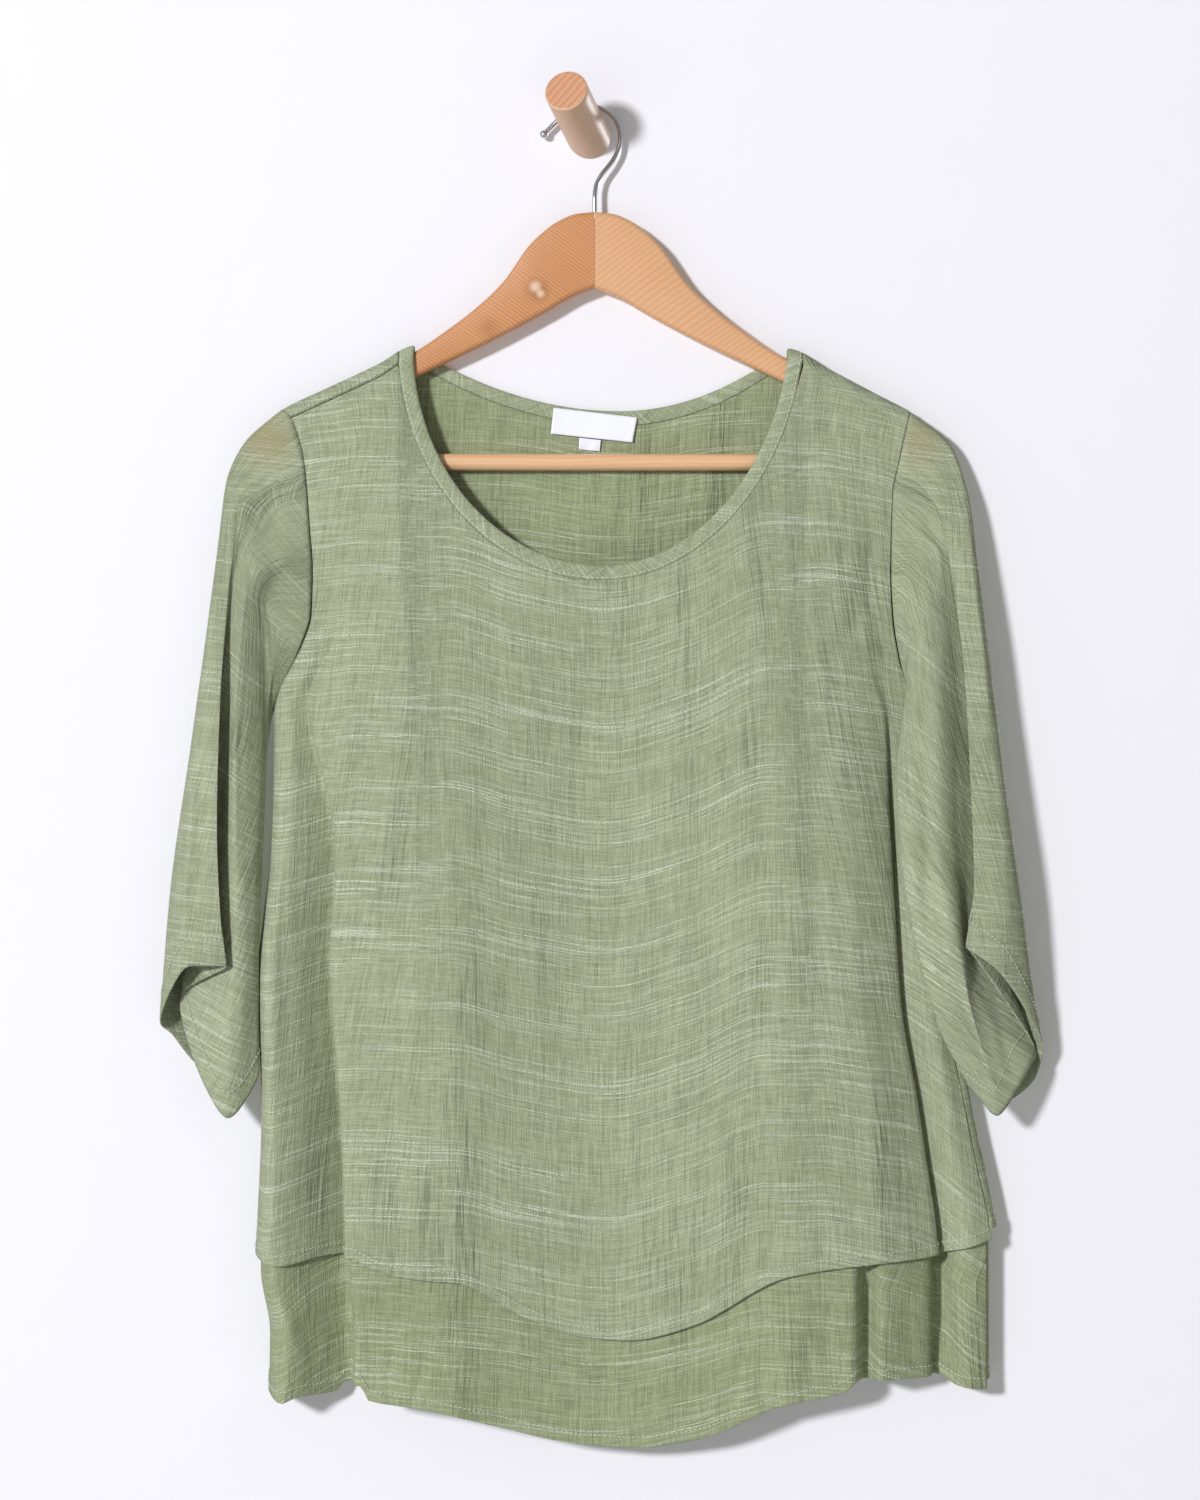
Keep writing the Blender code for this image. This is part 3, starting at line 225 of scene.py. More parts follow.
def dropAt(x, height):
    fall = np.maximum(shoulderTop(x) - height, 0)
    radius = body["turnRadius"]
    onTurn = radius * np.arccos(np.clip(1 - fall / radius, -1, 1))
    return np.where(fall < radius, onTurn, fall - radius + turnArc)


def depthOnTurn(drop):
    angle = np.clip(drop / body["turnRadius"], -math.pi / 2, math.pi / 2)
    return body["turnMiddle"] + body["turnRadius"] * np.sin(angle)


def linePlace(line, height):
    place = flow(heights, line[3], height)
    if line[2] == "left":
        return sideLeft(height) + place
    if line[2] == "right":
        return sideRight(height) - place
    if line[2] == "turn":
        below = np.clip((body["underarm"] - height) / body["armTurn"], 0, 1)
        return sideRight(height) * (1 - below) + rightTurn(height) * below - place
    return place + 0 * height


def neckEnd(side, margin):
    return neck["centre"] + (-neck["halfLeft"] - margin if side < 0 else neck["halfRight"] + margin)


def neckline(back, share, margin):
    left, right = neckEnd(-1, margin), neckEnd(1, margin)
    leftHeight = float(heightAt(left, turnArc if back else body["shoulderDrop"]))
    rightHeight = float(heightAt(right, turnArc))
    if back:
        x = left + (right - left) * share
        span = neck["backSpan"] if x < neck["backLow"] else neck["backSpanRight"]
        height = -neck["backDrop"] * (1 - ((x - neck["backLow"]) / span) ** 2) - margin
        height = min(height, leftHeight + (rightHeight - leftHeight) * share)
        return x, -float(dropAt(x, height))
    depth = neck["drop"] + margin
    first = math.asin(-leftHeight / depth)
    last = math.pi - math.asin(-rightHeight / depth)
    angle = first + (last - first) * share
    half = (neck["halfLeft"] if angle < math.pi / 2 else neck["halfRight"]) + margin
    half += (1 - math.cos(first)) * half * max(0, 1 - 3 * share)
    x = neck["centre"] - half * math.cos(angle)
    if angle > math.pi / 2:
        x -= neck["rightFlat"] * max(0.0, math.sin(2 * angle - math.pi))
    return x, float(dropAt(x, -depth * math.sin(angle)))


def columnPlaces(lines, step):
    widths = [max(abs(float(linePlace(b, h)) - float(linePlace(a, h))) for h in (-320.0, -560.0))
              for a, b in zip(lines, lines[1:])]
    counts = [max(2, round(width / step)) for width in widths]
    places = [i + j / count for i, count in enumerate(counts) for j in range(count)] + [len(lines) - 1]
    return np.array(places), np.interp(places, np.arange(len(lines)), [line[1] for line in lines])


def depthOf(lines, place, height, drop):
    hanging = flowRows(np.array([flow(heights, line[4], height) for line in lines]), place)
    beyond = np.clip((np.abs(drop) - turnArc) / 12.0, 0, 1)
    return depthOnTurn(drop) * (1 - beyond) + hanging * beyond


firstRuns = (0, 1.2, 2.6, 4.5, 7, 10, 14, 18.5, 23, 28, 34)     # rows below the turn, by length of cloth
lastRuns = (12, 9.8, 8.9, 8.2, 7.4, 6, 4.5, 3, 1.7, 0.8, 0.25, 0)   # and up from the hem


def panelGrid(lines, back, hem, columnStep, rowStep):
    # rows by columns of garment places on a panel's outer face; the first rows turn over the hanger
    sign = -1 if back else 1
    places, tops = columnPlaces(lines, columnStep)
    tipLeft, tipRight = float(sideLeft(body["tipHeights"][0])), float(sideRight(body["tipHeights"][1]))
    startX, startDrop = np.zeros(len(places)), np.zeros(len(places))
    for i, top in enumerate(tops):
        if top <= 1:
            startX[i] = tipLeft + (neckEnd(-1, neck["band"]) - tipLeft) * top
            startDrop[i] = -turnArc if back else body["shoulderDrop"]
        elif top < 2:
            startX[i], startDrop[i] = neckline(back, top - 1, neck["band"] - 0.3)
        else:
            startX[i] = neckEnd(1, neck["band"]) + (tipRight - neckEnd(1, neck["band"])) * (top - 2)
            startDrop[i] = sign * turnArc

    def xAt(height):
        return flowRows(np.array([linePlace(line, height) for line in lines]), places)

    low = np.full(len(places), -600.0)
    for _ in range(4):
        low = hem(xAt(low)) + (body["backHemRise"] if back else 0)
    fall = dropAt(xAt(low), low) - np.abs(startDrop)
    off = startX - xAt(heightAt(startX, startDrop))
    count = int(fall.max() / rowStep)
    shares = np.linspace(0, 1, count + 1)[1:-1]
    runs = [np.full(len(places), run) for run in firstRuns]
    runs += [firstRuns[-1] + (fall - lastRuns[0] - firstRuns[-1]) * share for share in shares]
    runs += [fall - run for run in lastRuns]
    rows = []
    shoulders = (tops >= 2) | ((tops <= 1) & back)
    for row in range(body["turnRows"]):
        share = row / body["turnRows"]
        leftDrop = (body["shoulderDrop"] - body["seamGap"]) * (1 - share) - turnArc * share
        rightDrop = sign * (body["seamGap"] / 2 * (1 - share) + turnArc * share)
        drop = np.where(tops >= 2, rightDrop, leftDrop if back else startDrop)
        rows.append((np.zeros(len(places)), np.where(shoulders, drop, startDrop)))
    rows += [(run, startDrop + sign * run) for run in runs]
    grid = []
    for run, drop in rows:
        x = startX
        for _ in range(5):
            height = heightAt(x, drop)
            x = xAt(height) + off * np.maximum(0, 1 - run / body["neckEase"]) ** 3
        grid.append(np.stack((x, height, depthOf(lines, places, height, drop)), axis=1))
    short = {i for i, top in enumerate(tops) if 1 < top < 2 or (top <= 1 and not back)}
    return np.array(grid), short


def relax(grid, rounds, share=0.5, closed=False):
    # softens a grid: each inner point moves toward the middle of its neighbours along and across
    first = body["turnRows"] + 2
    for _ in range(rounds):
        if closed:
            mean = (np.roll(grid, 1, axis=1) + np.roll(grid, -1, axis=1)) / 2
            grid[1:] += share * (mean - grid)[1:] * 0.8
            grid[2:-1] += share * 0.5 * ((grid[1:-2] + grid[3:]) / 2 - grid[2:-1])
        else:
            mean = (grid[first:, :-2] + grid[first:, 2:]) / 2
            grid[first:, 1:-1] += share * (mean - grid[first:, 1:-1])
    return grid


def gridNormals(grid, short=(), closed=False):
    # outward for a front panel: cross of down and across
    down = np.gradient(grid, axis=0)
    if closed:
        across = np.roll(grid, -1, axis=1) - np.roll(grid, 1, axis=1)
    else:
        across = np.gradient(grid, axis=1)
    if short:
        first = body["turnRows"]
        down[first] = grid[first + 1] - grid[first]
        for c in range(grid.shape[1]):
            if c not in short:
                if c + 1 in short:
                    across[:first + 1, c] = grid[:first + 1, c] - grid[:first + 1, c - 1]
                if c - 1 in short:
                    across[:first + 1, c] = grid[:first + 1, c + 1] - grid[:first + 1, c]
                down[first, c] = grid[first + 1, c] - grid[first - 1, c]
    return unit(np.cross(down, across))


def addFolds(grid, folds):
    # soft troughs (below zero) and ridges, each from one place to another
    for x0, h0, x1, h1, width, amount in folds:
        start, end = np.array((x0, h0), float), np.array((x1, h1), float)
        line = end - start
        length = np.linalg.norm(line)
        place = grid[:, :, :2] - start
        along = np.clip(place @ line / length ** 2, 0, 1)
        wander = 0.8 * width * np.sin(along * 5.0 + x0)
        across = (place @ np.array((line[1], -line[0]))) / length - wander
        beyond = np.linalg.norm(place - along[..., None] * line, axis=2) ** 2 - (across + wander) ** 2
        fade = np.sin(np.pi * along) ** 0.6 * np.exp(-np.maximum(beyond, 0) / (2 * width) ** 2)
        grid[:, :, 2] += amount * np.exp(-(across / width) ** 2) * fade
    return grid


hems = {
    "proud": 0.55, "step": 0.8,     # the turn's height, mm, and the length over which it rises
    "edge": 1.2, "edgeDrop": 0.9,   # the hem's edge rolls back down over this length
    "pucker": 0.3, "puckerReach": 3.0, "puckerTurn": 1.9,
}


def hemTurn(grid, normals, depth, amount=hems["proud"]):
    # the turned hem stands a little proud of the cloth above it
    length = lengthsAlong(grid[::-1])[::-1]
    rolled = np.clip((hems["edge"] - length) / hems["edge"], 0, 1) ** 2
    proud = np.clip((depth - length) / hems["step"], 0, 1) - hems["edgeDrop"] * rolled
    wave = hems["pucker"] * np.sin(np.arange(grid.shape[1]) * hems["puckerTurn"])
    pucker = wave * np.exp(-((length - depth) / hems["puckerReach"]) ** 2)
    return grid + normals * (amount * proud + pucker)[..., None]


def seamDip(grid, normals, depth, edges, reach=3.0):
    # a sewn edge sinks a little into its seam
    for edge in edges:
        length = np.linalg.norm(grid - grid[:, edge:(edge + 1) or None], axis=2)
        grid = grid - normals * (depth * np.exp(-(length / reach) ** 2))[..., None]
    return grid


frontFolds = (                      # from (x, height) to (x, height), half width, amount
    (11, -150, 13, -200, 1.6, -0.8), (-40, -180, -39, -212, 1.4, -0.7), (-9, -222, -6, -268, 3.5, -1.2),
    (43, -214, 38, -300, 5.0, -1.3), (30, -238, 32, -262, 2.2, -0.9), (60, -190, 59, -222, 2.0, -0.6),
    (-78, -170, -62, -420, 10.0, -1.2), (76, -230, 66, -480, 11.0, -1.4), (-38, -300, -30, -560, 9.0, 1.0),
    (24, -330, 30, -600, 10.0, 0.9), (92, -420, 96, -560, 7.0, -0.9), (-128, -330, -124, -560, 7.0, -0.8),
    (-146, -38, -144, -62, 3.0, -0.9), (-121, -36, -118, -70, 3.2, -0.8), (-164, -46, -160, -70, 3.0, -0.6),
    (150, -34, 158, -78, 3.4, -0.8), (170, -40, 174, -84, 3.0, -0.7), (184, -120, 150, -210, 7.0, -1.2),
    (-176, -150, -150, -250, 7.0, -1.1), (-200, -300, -205, -560, 3.4, -1.2),
    (-192, -380, -190, -585, 3.0, 0.9), (232, -470, 246, -582, 3.2, -1.0),
    (-100, -560, -98, -602, 3.5, -0.9), (-60, -590, -58, -618, 3.0, -0.7), (70, -596, 72, -628, 3.2, -0.8),
    (110, -560, 112, -600, 4.0, -0.8), (140, -540, 144, -596, 3.6, -0.9), (0, -600, 2, -640, 4.0, -0.6),
    (158, -300, 166, -560, 5.0, -0.9), (-70, -470, -66, -600, 5.0, -0.7),
)
innerFolds = (
    (-134, -640, -131, -686, 2.2, -1.8), (-110, -636, -117, -688, 3.0, -1.6), (6, -650, 5, -680, 1.8, -1.2),
    (92, -640, 88, -700, 2.4, -1.6), (106, -650, 112, -700, 3.6, -1.8), (62, -655, 66, -690, 3.0, -0.9),
    (-60, -640, -62, -694, 5.0, -0.8), (-200, -610, -190, -676, 4.0, 1.6),
    (-206, -620, -204, -680, 2.4, -1.4), (150, -610, 152, -668, 4.0, -1.0),
    (200, -610, 206, -668, 4.0, -1.0), (226, -560, 232, -700, 5.0, -6.0), (-30, -650, -28, -704, 5.0, 0.7),
    (40, -660, 38, -710, 5.0, 0.6), (130, -620, 128, -678, 4.0, 0.9),
)
backFolds = (
    (-140, -60, -100, -300, 14.0, 2.0), (150, -60, 110, -320, 14.0, 2.0), (-30, -120, -34, -520, 12.0, 1.4),
    (60, -160, 52, -600, 12.0, 1.4), (-170, -300, -176, -600, 9.0, 1.4), (196, -320, 214, -590, 9.0, 1.6),
    (-80, -380, -84, -600, 8.0, -1.0), (110, -420, 118, -600, 8.0, -1.0), (12, -60, 10, -110, 5.0, 0.8),
)

frontGrid, shortFront = panelGrid(frontLines, False, outerHem, body["columnStep"], body["rowStep"])
backGrid, shortBack = panelGrid(backLines, True, outerHem, body["backColumnStep"], body["backRowStep"])
frontGrid = addFolds(relax(frontGrid, 1), frontFolds)
backGrid = addFolds(relax(backGrid, 3), backFolds)
print("body panels shaped", frontGrid.shape, backGrid.shape)


def weaveMap(grid, sag):
    # cloth coordinates in metres: across along the thread from the middle column, and up with the
    # weft's sag taken out
    length = lengthsAlong(grid, 1)
    middle = grid.shape[1] // 2
    up = grid[:, :, 1] - sag(grid[:, :, 0]) + 0.25 * grid[:, :, 2]
    return np.stack((length - length[:, middle:middle + 1], up), axis=-1) / 1000


frontSag = curve(((-222, -12), (-200, -7), (-176, -3), (-150, 0), (-97, 0), (-50, -13), (5, -23), (60, -8),
                  (112, 14), (140, 14), (175, 8), (200, 0), (230, -18), (262, -42)))
innerSag = curve(((-217, -26), (-176, -4), (-150, 0), (-97, -2), (5, -18), (60, -7), (112, 9), (165, 6),
                  (190, -2), (225, -20), (262, -44)))
backSag = curve(((-222, -8), (-150, 2), (-60, 0), (10, -8), (80, 0), (160, 3), (262, -14)))


def newPiece(name, points, faces, material, uvs=None):
    mesh = bpy.data.meshes.new(name)
    mesh.from_pydata([tuple(point) for point in points], [], faces)
    if uvs is not None:
        mesh.uv_layers.new(name="cloth").data.foreach_set("uv", np.array(uvs, np.float32).ravel())
    mesh.polygons.foreach_set("use_smooth", [True] * len(mesh.polygons))
    mesh.materials.append(material)
    piece = bpy.data.objects.new(name, mesh)
    bpy.context.collection.objects.link(piece)
    return piece


def tubeFaces(rings, count, base=0):
    # the faces of a tube of rings, then its two ends
    faces = []
    for i in range(rings - 1):
        for j in range(count):
            n = (j + 1) % count
            faces.append((i * count + j, i * count + n, (i + 1) * count + n, (i + 1) * count + j))
    faces += [tuple(range(count))[::-1], tuple(range((rings - 1) * count, rings * count))]
    return [tuple(base + corner for corner in face) for face in faces]


def faceOut(piece, flatFaces=()):
    # turns every face outward, and gives these faces sharp edges
    work = bmesh.new()
    work.from_mesh(piece.data)
    bmesh.ops.recalc_face_normals(work, faces=work.faces[:])
    work.faces.ensure_lookup_table()
    for index in flatFaces:
        work.faces[index].smooth = False
        for edge in work.faces[index].edges:
            edge.smooth = False
    work.to_mesh(piece.data)
    work.free()
    return piece


def meshAsShown(shape):
    # the shape with its modifiers or bevel worked in
    return bpy.data.meshes.new_from_object(shape.evaluated_get(bpy.context.evaluated_depsgraph_get()))


def dress(piece, node=None):
    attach(piece, "root")
    if node:
        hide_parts(node)
    return piece


def makeCloth(name, node, grid, cloth, material, side=1, closed=False, short=(), thickness=body["cloth"]):
    # one thin shell: side 1 where the grid's own normal is the outer face
    rows, columns = grid.shape[:2]
    keep = np.ones((rows, columns), bool)
    for c in short:
        keep[:body["turnRows"], c] = False
    index = np.full((rows, columns), -1)
    index[keep] = np.arange(keep.sum())
    faces, uvs = [], []
    for r in range(rows - 1):
        for c in range(columns if closed else columns - 1):
            n = (c + 1) % columns
            around = [(r, c), (r + 1, c), (r + 1, n), (r, n)][::side]
            if all(keep[corner] for corner in around):
                faces.append([int(index[corner]) for corner in around])
                mapped = [(r, c), (r + 1, c), (r + 1, c + 1), (r, c + 1)][::side]
                uvs += [cloth[corner] for corner in mapped]
    piece = newPiece(name, toWorld(grid)[keep], faces, material, uvs)
    shell = piece.modifiers.new("shell", "SOLIDIFY")
    shell.thickness = thickness / 1000
    shell.offset = -1
    made = meshAsShown(piece)
    piece.modifiers.clear()
    old, piece.data = piece.data, made
    bpy.data.meshes.remove(old)
    return dress(piece, node)


# The finishes: shared node groups, then a material for each use of them.
def addNode(tree, kind, inputs=None, **settings):
    made = tree.nodes.new(kind)
    for key, value in settings.items():
        setattr(made, key, value)
    for key, value in (inputs or {}).items():
        if isinstance(value, bpy.types.NodeSocket):
            tree.links.new(value, made.inputs[key])
        else:
            made.inputs[key].default_value = value
    return made


def maths(tree, operation, *values, clamp=False):
    # carries the operation on through all the values
    result = values[0]
    for value in values[1:] or (0.0,):
        result = addNode(tree, "ShaderNodeMath", {0: result, 1: value}, operation=operation,
                         use_clamp=clamp).outputs[0]
    return result


def times(tree, *values, clamp=False):
    return maths(tree, "MULTIPLY", *values, clamp=clamp)


def plus(tree, *values, clamp=False):
    return maths(tree, "ADD", *values, clamp=clamp)


def coords(tree, kind="Object"):
    return tree.nodes.new("ShaderNodeTexCoord").outputs[kind]


def stretch(tree, vector, scale, rotation=(0, 0, 0)):
    return addNode(tree, "ShaderNodeMapping", {"Vector": vector, "Scale": scale,
                                               "Rotation": rotation}).outputs[0]


def noise(tree, vector, scale, detail=2.0, rough=0.5, output="Fac"):
    # a tuple for the scale stretches the noise
    if isinstance(scale, tuple):
        vector, scale = stretch(tree, vector, scale), 1.0
    return addNode(tree, "ShaderNodeTexNoise", {"Vector": vector, "Scale": scale, "Detail": detail,
                                                "Roughness": rough}).outputs[output]


def waves(tree, vector, scale, distortion, detail, detailScale, **settings):
    return addNode(tree, "ShaderNodeTexWave", {
        "Vector": vector, "Scale": scale, "Distortion": distortion, "Detail": detail,
        "Detail Scale": detailScale}, wave_type="BANDS", **settings).outputs["Fac"]


def band(tree, value, low, high, toLow=0.0, toHigh=1.0):
    return addNode(tree, "ShaderNodeMapRange", {"Value": value, "From Min": low, "From Max": high,
                                                "To Min": toLow, "To Max": toHigh}).outputs[0]


def mixed(tree, factor, first, second, kind="MIX"):
    return addNode(tree, "ShaderNodeMix", {0: factor, 6: first, 7: second}, data_type="RGBA",
                   blend_type=kind).outputs[2]


def newGroup(name, inputs, outputs):
    group = bpy.data.node_groups.new(name, "ShaderNodeTree")
    for label, kind, value in inputs:
        socket = group.interface.new_socket(label, in_out="INPUT", socket_type="NodeSocket" + kind)
        if value is not None:
            socket.default_value = value
    for label, kind in outputs:
        group.interface.new_socket(label, in_out="OUTPUT", socket_type="NodeSocket" + kind)
    return group, group.nodes.new("NodeGroupInput").outputs, group.nodes.new("NodeGroupOutput").inputs


def threads(tree, along, across, pitch, length, low, high, seed):
    # single threads that show along parts of their length: 1 on them, 0 elsewhere
    count = maths(tree, "DIVIDE", across, pitch)
    side = maths(tree, "ABSOLUTE", band(tree, maths(tree, "FRACT", count), 0, 1, -1, 1))
    roundness = maths(tree, "SUBTRACT", 1.0, maths(tree, "POWER", side, 3.0))
    place = addNode(tree, "ShaderNodeCombineXYZ", {
        "X": maths(tree, "DIVIDE", along, length),
        "Y": times(tree, maths(tree, "FLOOR", count), 5.37), "Z": seed}).outputs[0]
    return times(tree, band(tree, noise(tree, place, 1.0, 1.0), low, high), roundness)


weave = {
    # threads: spacing and length in metres, where the noise starts and ends a thread, and a seed
    "thick": (0.00098, 0.12, 0.585, 0.645, 3.1),
    "fine": (0.0007, 0.045, 0.50, 0.66, 8.7),
    "warp": (0.00105, 0.035, 0.46, 0.66, 5.9),
    "fineShare": 0.55,
    "sway": 0.002,                  # the weft's wander, in metres
    "warpDark": 0.2,                # darkening of the warp lines; in crinkled zones the lines darken more and the zones darken too, both painted shade of the crinkles
    "crinkleLineShade": 0.26,
    "crinkleZoneShade": 0.07,
    "ribs": 0.6,                    # heights, as shares of the bump's depth
    "zoneRibs": 1.2,
    "slubHeight": 0.22,
    "grainHeight": 0.5,
    "roughness": (0.86, 0.66),      # of the ground and of the slubs
}


def slubWeave():
    # plain weave with pale thick weft threads, and dark lines and crinkled zones along the warp; the
    # crinkled zones carry painted shade
    group, given, out = newGroup("slubWeave", (
        ("Cloth", "Vector", None), ("Ground", "Color", (0.3, 0.35, 0.22, 1)),
        ("Slub", "Color", (0.5, 0.55, 0.4, 1)), ("Slubs", "Float", 1.0), ("Crinkle", "Float", 1.0)),
        (("Color", "Color"), ("Height", "Float"), ("Roughness", "Float")))
    cloth = given["Cloth"]

    def patches(scale, detail, *spans):
        return band(group, noise(group, cloth, scale, detail), *spans)

    place = addNode(group, "ShaderNodeSeparateXYZ", {0: cloth}).outputs
    across, up = place[0], place[1]
    weft = plus(group, up, patches((7, 4, 1), 2.0, 0, 1, -weave["sway"], weave["sway"]))
    where = patches((4, 48, 1), 2.0, 0.34, 0.60, 0.12, 1.0)
    broken = patches((820, 1100, 1), 1.0, 0.38, 0.56, 0.16, 1.0)
    thick = threads(group, across, weft, *weave["thick"])
    fine = times(group, threads(group, across, weft, *weave["fine"]), weave["fineShare"])
    slub = times(group, maths(group, "MAXIMUM", thick, fine), times(group, where, broken))
    mask = times(group, slub, given["Slubs"], clamp=True)
    zone = patches((26, 4.5, 1), 2.0, 0.54, 0.70)
    lines = threads(group, up, across, *weave["warp"])
    # warp lines darken the ground; in crinkled zones the lines darken more and the zone itself darkens:
    # painted shade of the crinkles
    dark = times(group, lines, plus(group, times(group, zone, weave["crinkleLineShade"]), weave["warpDark"]))
    dark = plus(group, dark, times(group, zone, weave["crinkleZoneShade"]))
    warp = noise(group, cloth, (1150, 60, 1), 2.0, 0.6)
    row = noise(group, cloth, (60, 1150, 1), 2.0, 0.6)
    grain = patches((1200, 1200, 1), 1.0, 0.3, 0.7, 0.86, 1.14)
    cloudy = patches((9, 7, 1), 3.0, 0.3, 0.7, 0.94, 1.06)
    shade = times(group, band(group, warp, 0.3, 0.7, 0.86, 1.14), band(group, row, 0.3, 0.7, 0.82, 1.18),
                  grain, cloudy, maths(group, "SUBTRACT", 1.0, dark))
    grey = addNode(group, "ShaderNodeCombineColor", {"Red": shade, "Green": shade, "Blue": shade})
    ground = mixed(group, 1.0, given["Ground"], grey.outputs[0], "MULTIPLY")
    group.links.new(mixed(group, mask, ground, given["Slub"]), out["Color"])
    crinkle = noise(group, cloth, (330, 22, 1), 3.0, 0.55)
    ribs = times(group, crinkle, plus(group, times(group, zone, weave["zoneRibs"]), weave["ribs"]))
    height = times(group, plus(group, ribs, noise(group, cloth, (75, 20, 1))), given["Crinkle"])
    height = plus(group, height, times(group, mask, weave["slubHeight"]),
                  times(group, plus(group, warp, row), weave["grainHeight"]))
    group.links.new(height, out["Height"])
    group.links.new(band(group, mask, 0, 1, *weave["roughness"]), out["Roughness"])
    return group


def softSpot():
    # 1 at a place, fading to 0 at its reach, in metres
    group, given, out = newGroup("softSpot", (
        ("Position", "Vector", None), ("Centre", "Vector", (0, 0, 0)), ("Reach", "Float", 0.02)),
        (("Mask", "Float"),))
    away = addNode(group, "ShaderNodeVectorMath", {0: given["Position"], 1: given["Centre"]},
                   operation="DISTANCE")
    share = maths(group, "DIVIDE", away.outputs["Value"], given["Reach"])
    fade = addNode(group, "ShaderNodeMapRange", {"Value": share, "From Min": 1.0, "From Max": 0.15},
                   interpolation_type="SMOOTHSTEP")
    group.links.new(fade.outputs[0], out["Mask"])
    return group


wood = {
    "sway": (0.016, 0.016, 0.0), "rings": 0.45, "streaks": 0.35, "drift": 0.35,
    "span": (0.30, 0.85),           # of their sum, from light wood to dark
    "pores": -0.5, "roughness": (0.34, 0.46),
}


def woodGrain():
    # rings cut along their length: long streaks down Z, with pores and slow colour drift
    group, given, out = newGroup("woodGrain", (
        ("Position", "Vector", None), ("Light", "Color", (0.6, 0.35, 0.2, 1)),
        ("Dark", "Color", (0.4, 0.2, 0.1, 1)), ("Ring", "Float", 260.0), ("Streak", "Float", 0.5)),
        (("Color", "Color"), ("Height", "Float"), ("Roughness", "Float")))
    place = given["Position"]
    sway = addNode(group, "ShaderNodeVectorMath", {
        0: noise(group, place, (16, 16, 5), output="Color"), 1: wood["sway"]}, operation="MULTIPLY")
    swayed = addNode(group, "ShaderNodeVectorMath", {0: place, 1: sway.outputs[0]}, operation="ADD")
    rings = waves(group, stretch(group, swayed.outputs[0], (1, 0.6, 0.02)), given["Ring"], 3.0, 2.0, 0.6,
                  bands_direction="X")
    streaks = noise(group, place, (900, 900, 22), 3.0, 0.6)
    drift = noise(group, place, (40, 40, 12))
    mask = plus(group, times(group, rings, wood["rings"]), times(group, streaks, wood["streaks"]),
                times(group, drift, wood["drift"]))
    mask = times(group, band(group, mask, *wood["span"]), given["Streak"], clamp=True)
    group.links.new(mixed(group, mask, given["Light"], given["Dark"]), out["Color"])
    group.links.new(times(group, streaks, wood["pores"]), out["Height"])
    group.links.new(band(group, streaks, 0.3, 0.7, *wood["roughness"]), out["Roughness"])
    return group


slubGroup, spotGroup, grainGroup = slubWeave(), softSpot(), woodGrain()


def newMaterial(name, sockets):
    material = bpy.data.materials.new(name)
    material.use_nodes = True
    shader = material.node_tree.nodes["Principled BSDF"]
    for key, value in sockets.items():
        shader.inputs[key].default_value = value
    return material, material.node_tree, shader


def grouped(tree, group, inputs):
    return addNode(tree, "ShaderNodeGroup", inputs, node_tree=group).outputs


def spotted(tree, colour, spots):
    # soft spots of another colour, each with a garment place, a reach in metres, a share and the colour
    place = coords(tree)
    for centre, reach, share, shade in spots:
        at = tuple(float(value) for value in toWorld(centre))
        mask = grouped(tree, spotGroup, {"Position": place, "Centre": at, "Reach": reach})["Mask"]
        colour = mixed(tree, times(tree, mask, share), colour, shade)
    return colour


def wear(tree, shader, colour, roughness=None, height=None, distance=0.0002):
    # gives the shader its colour, and a roughness and a bump where they are given
    tree.links.new(colour, shader.inputs["Base Color"])
    if roughness is not None:
        tree.links.new(roughness, shader.inputs["Roughness"])
    if height is not None:
        bump = addNode(tree, "ShaderNodeBump", {"Height": height, "Distance": distance, "Strength": 1.0})
        tree.links.new(bump.outputs[0], shader.inputs["Normal"])


clothFinish = {
    "ground": (0.316, 0.358, 0.224, 1),
    "slub": (0.66, 0.70, 0.56, 1),
    # the layer beneath is the same cloth; its darker ground is painted shade under the outer layer
    "shadedUnderGround": (0.278, 0.324, 0.178, 1),
    "bump": 0.0011,
    "paintedShowThrough": (0.36, 0.25, 0.11, 1),       # painted show-through: the hanger's ends, seen through the thin sleeves, painted as a brown tint on the cloth
    "shoulders": (((-214, -62, 16), 0.026, 0.40), ((210, -64, 16), 0.022, 0.34)),
}


def clothMaterial(name, ground, slubs=1.0, crinkle=1.0, turn=0.0, spots=()):
    material, tree, shader = newMaterial(name, {"Sheen Weight": 0.12, "Sheen Roughness": 0.5, "IOR": 1.4,
                                                "Specular IOR Level": 0.25})
    cloth = stretch(tree, coords(tree, "UV"), (1, 1, 1), (0, 0, turn))
    look = grouped(tree, slubGroup, {"Cloth": cloth, "Ground": ground, "Slub": clothFinish["slub"],
                                     "Slubs": slubs, "Crinkle": crinkle})
    wear(tree, shader, spotted(tree, look["Color"], spots), look["Roughness"], look["Height"],
         clothFinish["bump"])
    return material


outerMaterial = clothMaterial("slubOuter", clothFinish["ground"])
# the under layer's cloth, darkened with painted shade
innerMaterial = clothMaterial("slubUnder", clothFinish["shadedUnderGround"], 0.8)
# the sleeves carry painted show-through: brown spots at the shoulders where the hanger's ends show through
# the cloth
sleeveMaterial = clothMaterial("slubSleeve", clothFinish["ground"], 0.9, spots=[
    spot + (clothFinish["paintedShowThrough"],) for spot in clothFinish["shoulders"]])
bandMaterial = clothMaterial("slubBias", clothFinish["ground"], 0.8, 0.3, 0.9)


def panelNormals(grid, back):
    return gridNormals(grid, shortBack if back else shortFront) * (-1 if back else 1)


